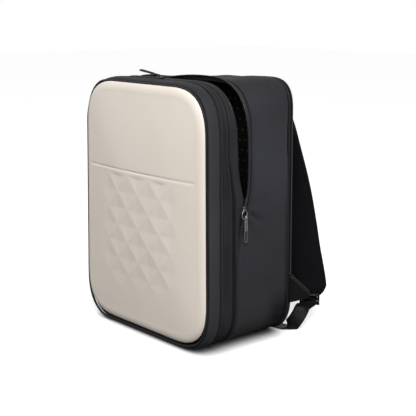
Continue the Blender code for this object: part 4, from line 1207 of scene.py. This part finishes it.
def wing_tab(side):
    """Cloth tab: four-cornered sheet from the back panel's edge to the webbing, with a light cord
    sewn into its upper edge."""
    root_y = BACK_SEAM + BACK_PIPING + 3 * GAP - BASE_TO_RIM
    heights = np.array([TAB_FOOT, TAB_FOOT + TAB_HEIGHT])
    outside = BODY_WIDTH / 2 * taper(heights) - BACK_EDGE_INSET + GAP + TAB_THICKNESS / 2
    tip = webbing_start() + lock_frame()[2] * 3 * GAP
    way = np.linspace(0, 1, 28)
    y = root_y + (tip[1] - root_y) * way
    bend = np.clip((y - root_y - TAB_FLAT_ROOT) / (tip[1] - root_y - TAB_FLAT_ROOT), 0, 1)
    low, high = (np.stack([start + (tip[0] - start) * bend, y, z + (tip[2] + past - z) * way], axis=1)
                 for start, z, past in zip(outside, heights, (-TAB_TIP_BELOW, TAB_TIP_ABOVE)))
    s = np.linspace(0, 1, 14)[None, :, None]
    sheet = low[:, None] * (1 - s) + high[:, None] * s
    ahead = unit(np.gradient(sheet, axis=0))
    up = unit(np.gradient(sheet, axis=1))
    normal = unit(np.cross(ahead, up))
    sheet = sheet + normal * (0.0008 * np.sin(np.pi * s) * np.sin(np.pi * way)[:, None, None])
    hem = np.minimum(s, 1 - s)[..., 0] * np.linalg.norm(high - low, axis=1)[:, None]
    half = TAB_THICKNESS / 2 * (0.75 + 0.25 * bell(hem - 0.002, 0.002))[..., None]
    rows = np.concatenate([sheet + normal * half, (sheet - normal * half)[:, ::-1]], axis=1)
    row_piece(f"tab_cloth_{word(side)}", mirrored(rows, side), TAB_CLOTH, nodes=[f"wing_tab_{word(side)}"],
              slot="black_cloth")
    cord = high + (0.0, 0.0, 0.0006)
    lower_cord = cord + unit(low - high) * 0.0046 + normal[:, 11] * (TAB_THICKNESS / 2)
    for name, line, radius in (("tab_cord", cord, 0.0010), ("tab_seam", lower_cord, 0.0007)):
        round_cord(f"{name}_{word(side)}", mirrored(line, side), radius, LIGHT_PIPING, closed=False, sides=10,
                   slot="black_trim")


def wire_ring(name, flat, centre, across, ahead, wire, finish, **facts):
    """Closed ring of round wire through corners given along across and ahead."""
    middle = np.array([centre + across * u + ahead * w for u, w in flat])
    middle = along(np.concatenate([middle, middle[:1]]), 61)[:-1]
    round_cord(name, middle, wire / 2, finish, closed=True, sides=10, **facts)


def zip_pull(label, seat, across, out, ahead, metal, cord, stout=1.0):
    """Eye on the slider, a link, a ridged frame and a cord loop, laid out against ahead. stout: how
    much thicker the wires are than usual."""
    level = seat + out * (SLIDER_THICKNESS + 2 * GAP + PULL_THICKNESS / 2)
    half, rise = (EYE_WIDTH - EYE_WIRE) / 2, (EYE_LENGTH - EYE_WIRE) / 2
    centre = level + ahead * ((SLIDER_LENGTH - EYE_LENGTH) / 2 - 0.0038) - across * 0.0034
    corners = [(half, 0.1 * rise), (0.35 * half, rise), (-0.35 * half, rise), (-half, 0.1 * rise),
               (-0.55 * half, -rise), (0.55 * half, -rise)]
    wire_ring(f"{label}_eye_wire", corners, centre, across, ahead, stout * EYE_WIRE, metal,
              nodes=[f"{label}_eye"], slot="dark_metal")
    top = SLIDER_LENGTH / 2 - EYE_LENGTH + 0.0004
    link = LINK_REACH
    corners = [(0.0022, 0.4 * link), (0.0010, link), (-0.0010, link), (-0.0022, 0.4 * link),
               (-0.0022, -0.4 * link), (-0.0010, -link), (0.0010, -link), (0.0022, -0.4 * link)]
    wire_ring(f"{label}_link", corners, level + ahead * (top - link), across, ahead, stout * LINK_WIRE,
              metal, slot="dark_metal")
    half, rise = (PULL_WIDTH - PULL_WIRE) / 2, (PULL_LENGTH - 2 * link) / 2
    centre = level + ahead * (SLIDER_LENGTH / 2 - EYE_LENGTH - GAP - PULL_LENGTH + rise)
    corners = [(half, 0.8 * rise), (0.6 * half, rise), (-0.6 * half, rise), (-half, 0.8 * rise),
               (-half, 0), (-half, -0.8 * rise), (-0.6 * half, -rise), (0.6 * half, -rise),
               (half, -0.8 * rise), (half, 0)]
    wire_ring(f"{label}_pull_frame", corners, centre, across, ahead, stout * PULL_WIRE, metal,
              nodes=[f"{label}_pull"], slot="dark_metal")
    stops = np.linspace(-0.72, 0.72, 5)
    middles = np.array([centre + ahead * rise * w + out * 0.0002 for w in stops])
    small_blocks(f"{label}_pull_ridges", middles, np.tile(ahead, (5, 1)), np.tile(out, (5, 1)),
                 (stout * RIDGE_SIZE, 2 * half, stout ** 2 * RIDGE_SIZE), metal, slot="dark_metal")
    start = centre - ahead * (rise - 0.0010)
    reach = PULL_WIDTH / 2 - 0.0004
    turn = np.linspace(0, np.pi, 9)
    end = [(reach * np.cos(a), LOOP_LENGTH - reach * (1 - np.sin(a))) for a in turn]
    run = [(0.3 * reach, 0.0), (0.9 * reach, 0.004), *end, (-0.9 * reach, 0.004), (-0.3 * reach, 0.0)]
    middle = along([start + across * u - ahead * w for u, w in run], 70)
    round_cord(f"{label}_loop_cord", middle, stout * LOOP_RADIUS, cord, closed=False, sides=10,
               nodes=[f"{label}_loop"], slot="black_trim")


def hard_parts():
    """Locks and slider bodies from the CAD with rounded edges, and the sliders' finer pulls."""
    for side in (1, -1):
        finer_copy(f"ladder_lock_{word(side)}", PLASTIC, 0.0005)
        finer_copy(f"main_zip_{word(side)}_slider", DARK_METAL, 0.0004)
        seat = np.array([side * BODY_WIDTH / 2 * taper(SLIDER_HEIGHT - SLIDER_LENGTH),
                         MAIN_ZIP_LINE + SLIDER_SET_BACK - BASE_TO_RIM, SLIDER_HEIGHT - SLIDER_LENGTH / 2])
        zip_pull(f"main_zip_{word(side)}", seat, np.array([0.0, 1.0, 0.0]), np.array([side, 0.0, 0.0]),
                 np.array([0.0, 0.0, 1.0]), METAL, LOOP_CORD)
    finer_copy("front_zip_slider", DARK_METAL, 0.0004)
    lift = FRONT_PULL_LIFT
    seat = np.array([FRONT_SLIDER_X, FRONT_ZIP_START + FRONT_ZIP_WIDTH / 2 - BASE_TO_RIM,
                     BODY_HEIGHT + SLIDER_LENGTH / 2 * np.sin(lift)])
    zip_pull("front_zip", seat, np.array([0.0, 1.0, 0.0]), np.array([np.sin(lift), 0.0, np.cos(lift)]),
             np.array([np.cos(lift), 0.0, -np.sin(lift)]), PLASTIC, TRIM, stout=1.6)


# Stage


def placing(axes, place):
    """Matrix that turns an object's X, Y and Z to the given axes and puts it at a place."""
    return Matrix([[*row, at] for row, at in zip(np.stack(axes, axis=1), place)] + [[0, 0, 0, 1]])


def stage():
    """Pale floor with a painted contact shadow, soft studio light and the photo's camera."""
    floor = bpy.data.meshes.new("floor")
    floor.from_pydata([(-9, -9, 0), (9, -9, 0), (9, 9, 0), (-9, 9, 0)], [], [(0, 1, 2, 3)])
    made, tree, shader = bare_material("pale_floor", 0.9, specular=0.0)
    # The floor glows for the camera, a painted light, and its colour and glow darken near the bag by ambient
    # occlusion, a painted contact shadow; to other rays it is almost black
    seen = node(tree, "LightPath").outputs["Is Camera Ray"]
    open_sky = node(tree, "AmbientOcclusion", [("Distance", 0.035)], samples=12).outputs["AO"]
    lit = math(tree, "MULTIPLY", seen, ranged(tree, open_sky, 0.10, 0.75))
    tree.links.new(mixed(tree, lit, (0.06, 0.06, 0.06), (0.90, 0.90, 0.90)), shader.inputs["Base Color"])
    tree.links.new(mixed(tree, lit, (0.0, 0.0, 0.0), (0.42, 0.42, 0.42)), shader.inputs["Emission Color"])
    shader.inputs["Emission Strength"].default_value = 1.0
    floor.materials.append(made)
    ground = bpy.data.objects.new("floor", floor)
    bpy.context.scene.collection.objects.link(ground)

    world = bpy.data.worlds.new("studio")
    world.use_nodes = True
    tree = world.node_tree
    seen = node(tree, "LightPath").outputs["Is Camera Ray"]
    up = node(tree, "SeparateXYZ", [(0, node(tree, "TexCoord").outputs["Generated"])]).outputs[2]
    tree.links.new(math(tree, "MAXIMUM", seen, ranged(tree, up, -0.1, 0.9, 0.55, 0.64)),
                   tree.nodes["Background"].inputs[1])
    tree.nodes["Background"].inputs[0].default_value = (1.0, 1.0, 1.0, 1.0)
    bpy.context.scene.world = world

    for name, place, target, size, power in (
            ("key", (1.15, -0.80, 1.25), (0, 0, 0.25), 0.9, 29),
            ("fill", (-1.6, -1.6, 1.2), (0, 0, 0.25), 1.2, 10)):
        light = bpy.data.lights.new(name, "AREA")
        light.size = size
        light.energy = power
        lamp = bpy.data.objects.new(name, light)
        place = np.array(place, float)
        back = unit(place - np.array(target))
        aside = unit(np.cross((0, 0, 1), back))
        lamp.matrix_world = placing([aside, np.cross(back, aside), back], place)
        bpy.context.scene.collection.objects.link(lamp)

    a, e, roll = (np.radians(v) for v in (CAMERA_AZIMUTH, CAMERA_ELEVATION, CAMERA_ROLL))
    look = np.array([-np.sin(a) * np.cos(e), np.cos(a) * np.cos(e), -np.sin(e)])
    right = np.array([np.cos(a), np.sin(a), 0.0])
    up = np.cross(right, look)
    right, up = right * np.cos(roll) + up * np.sin(roll), up * np.cos(roll) - right * np.sin(roll)
    eye = np.array(CAMERA_AIM) - look * CAMERA_DISTANCE + right * CAMERA_OFFSET[0] + up * CAMERA_OFFSET[1]
    camera = bpy.data.objects.new("camera", bpy.data.cameras.new("camera"))
    camera.data.sensor_width = 36
    camera.data.lens = CAMERA_LENS
    camera.matrix_world = placing([right, up, -look], eye)
    bpy.context.scene.collection.objects.link(camera)
    bpy.context.scene.camera = camera
    bpy.context.scene.view_settings.view_transform = "Standard"


stage()
front_shell()
body_bands()
main_zip()
rear_body()
piping()
back_panel()
lining()
zip_teeth()
seam_stitches()
for hand in (1, -1):
    shoulder_strap(hand)
    strap_webbing(hand)
    wing_tab(hand)
hard_parts()
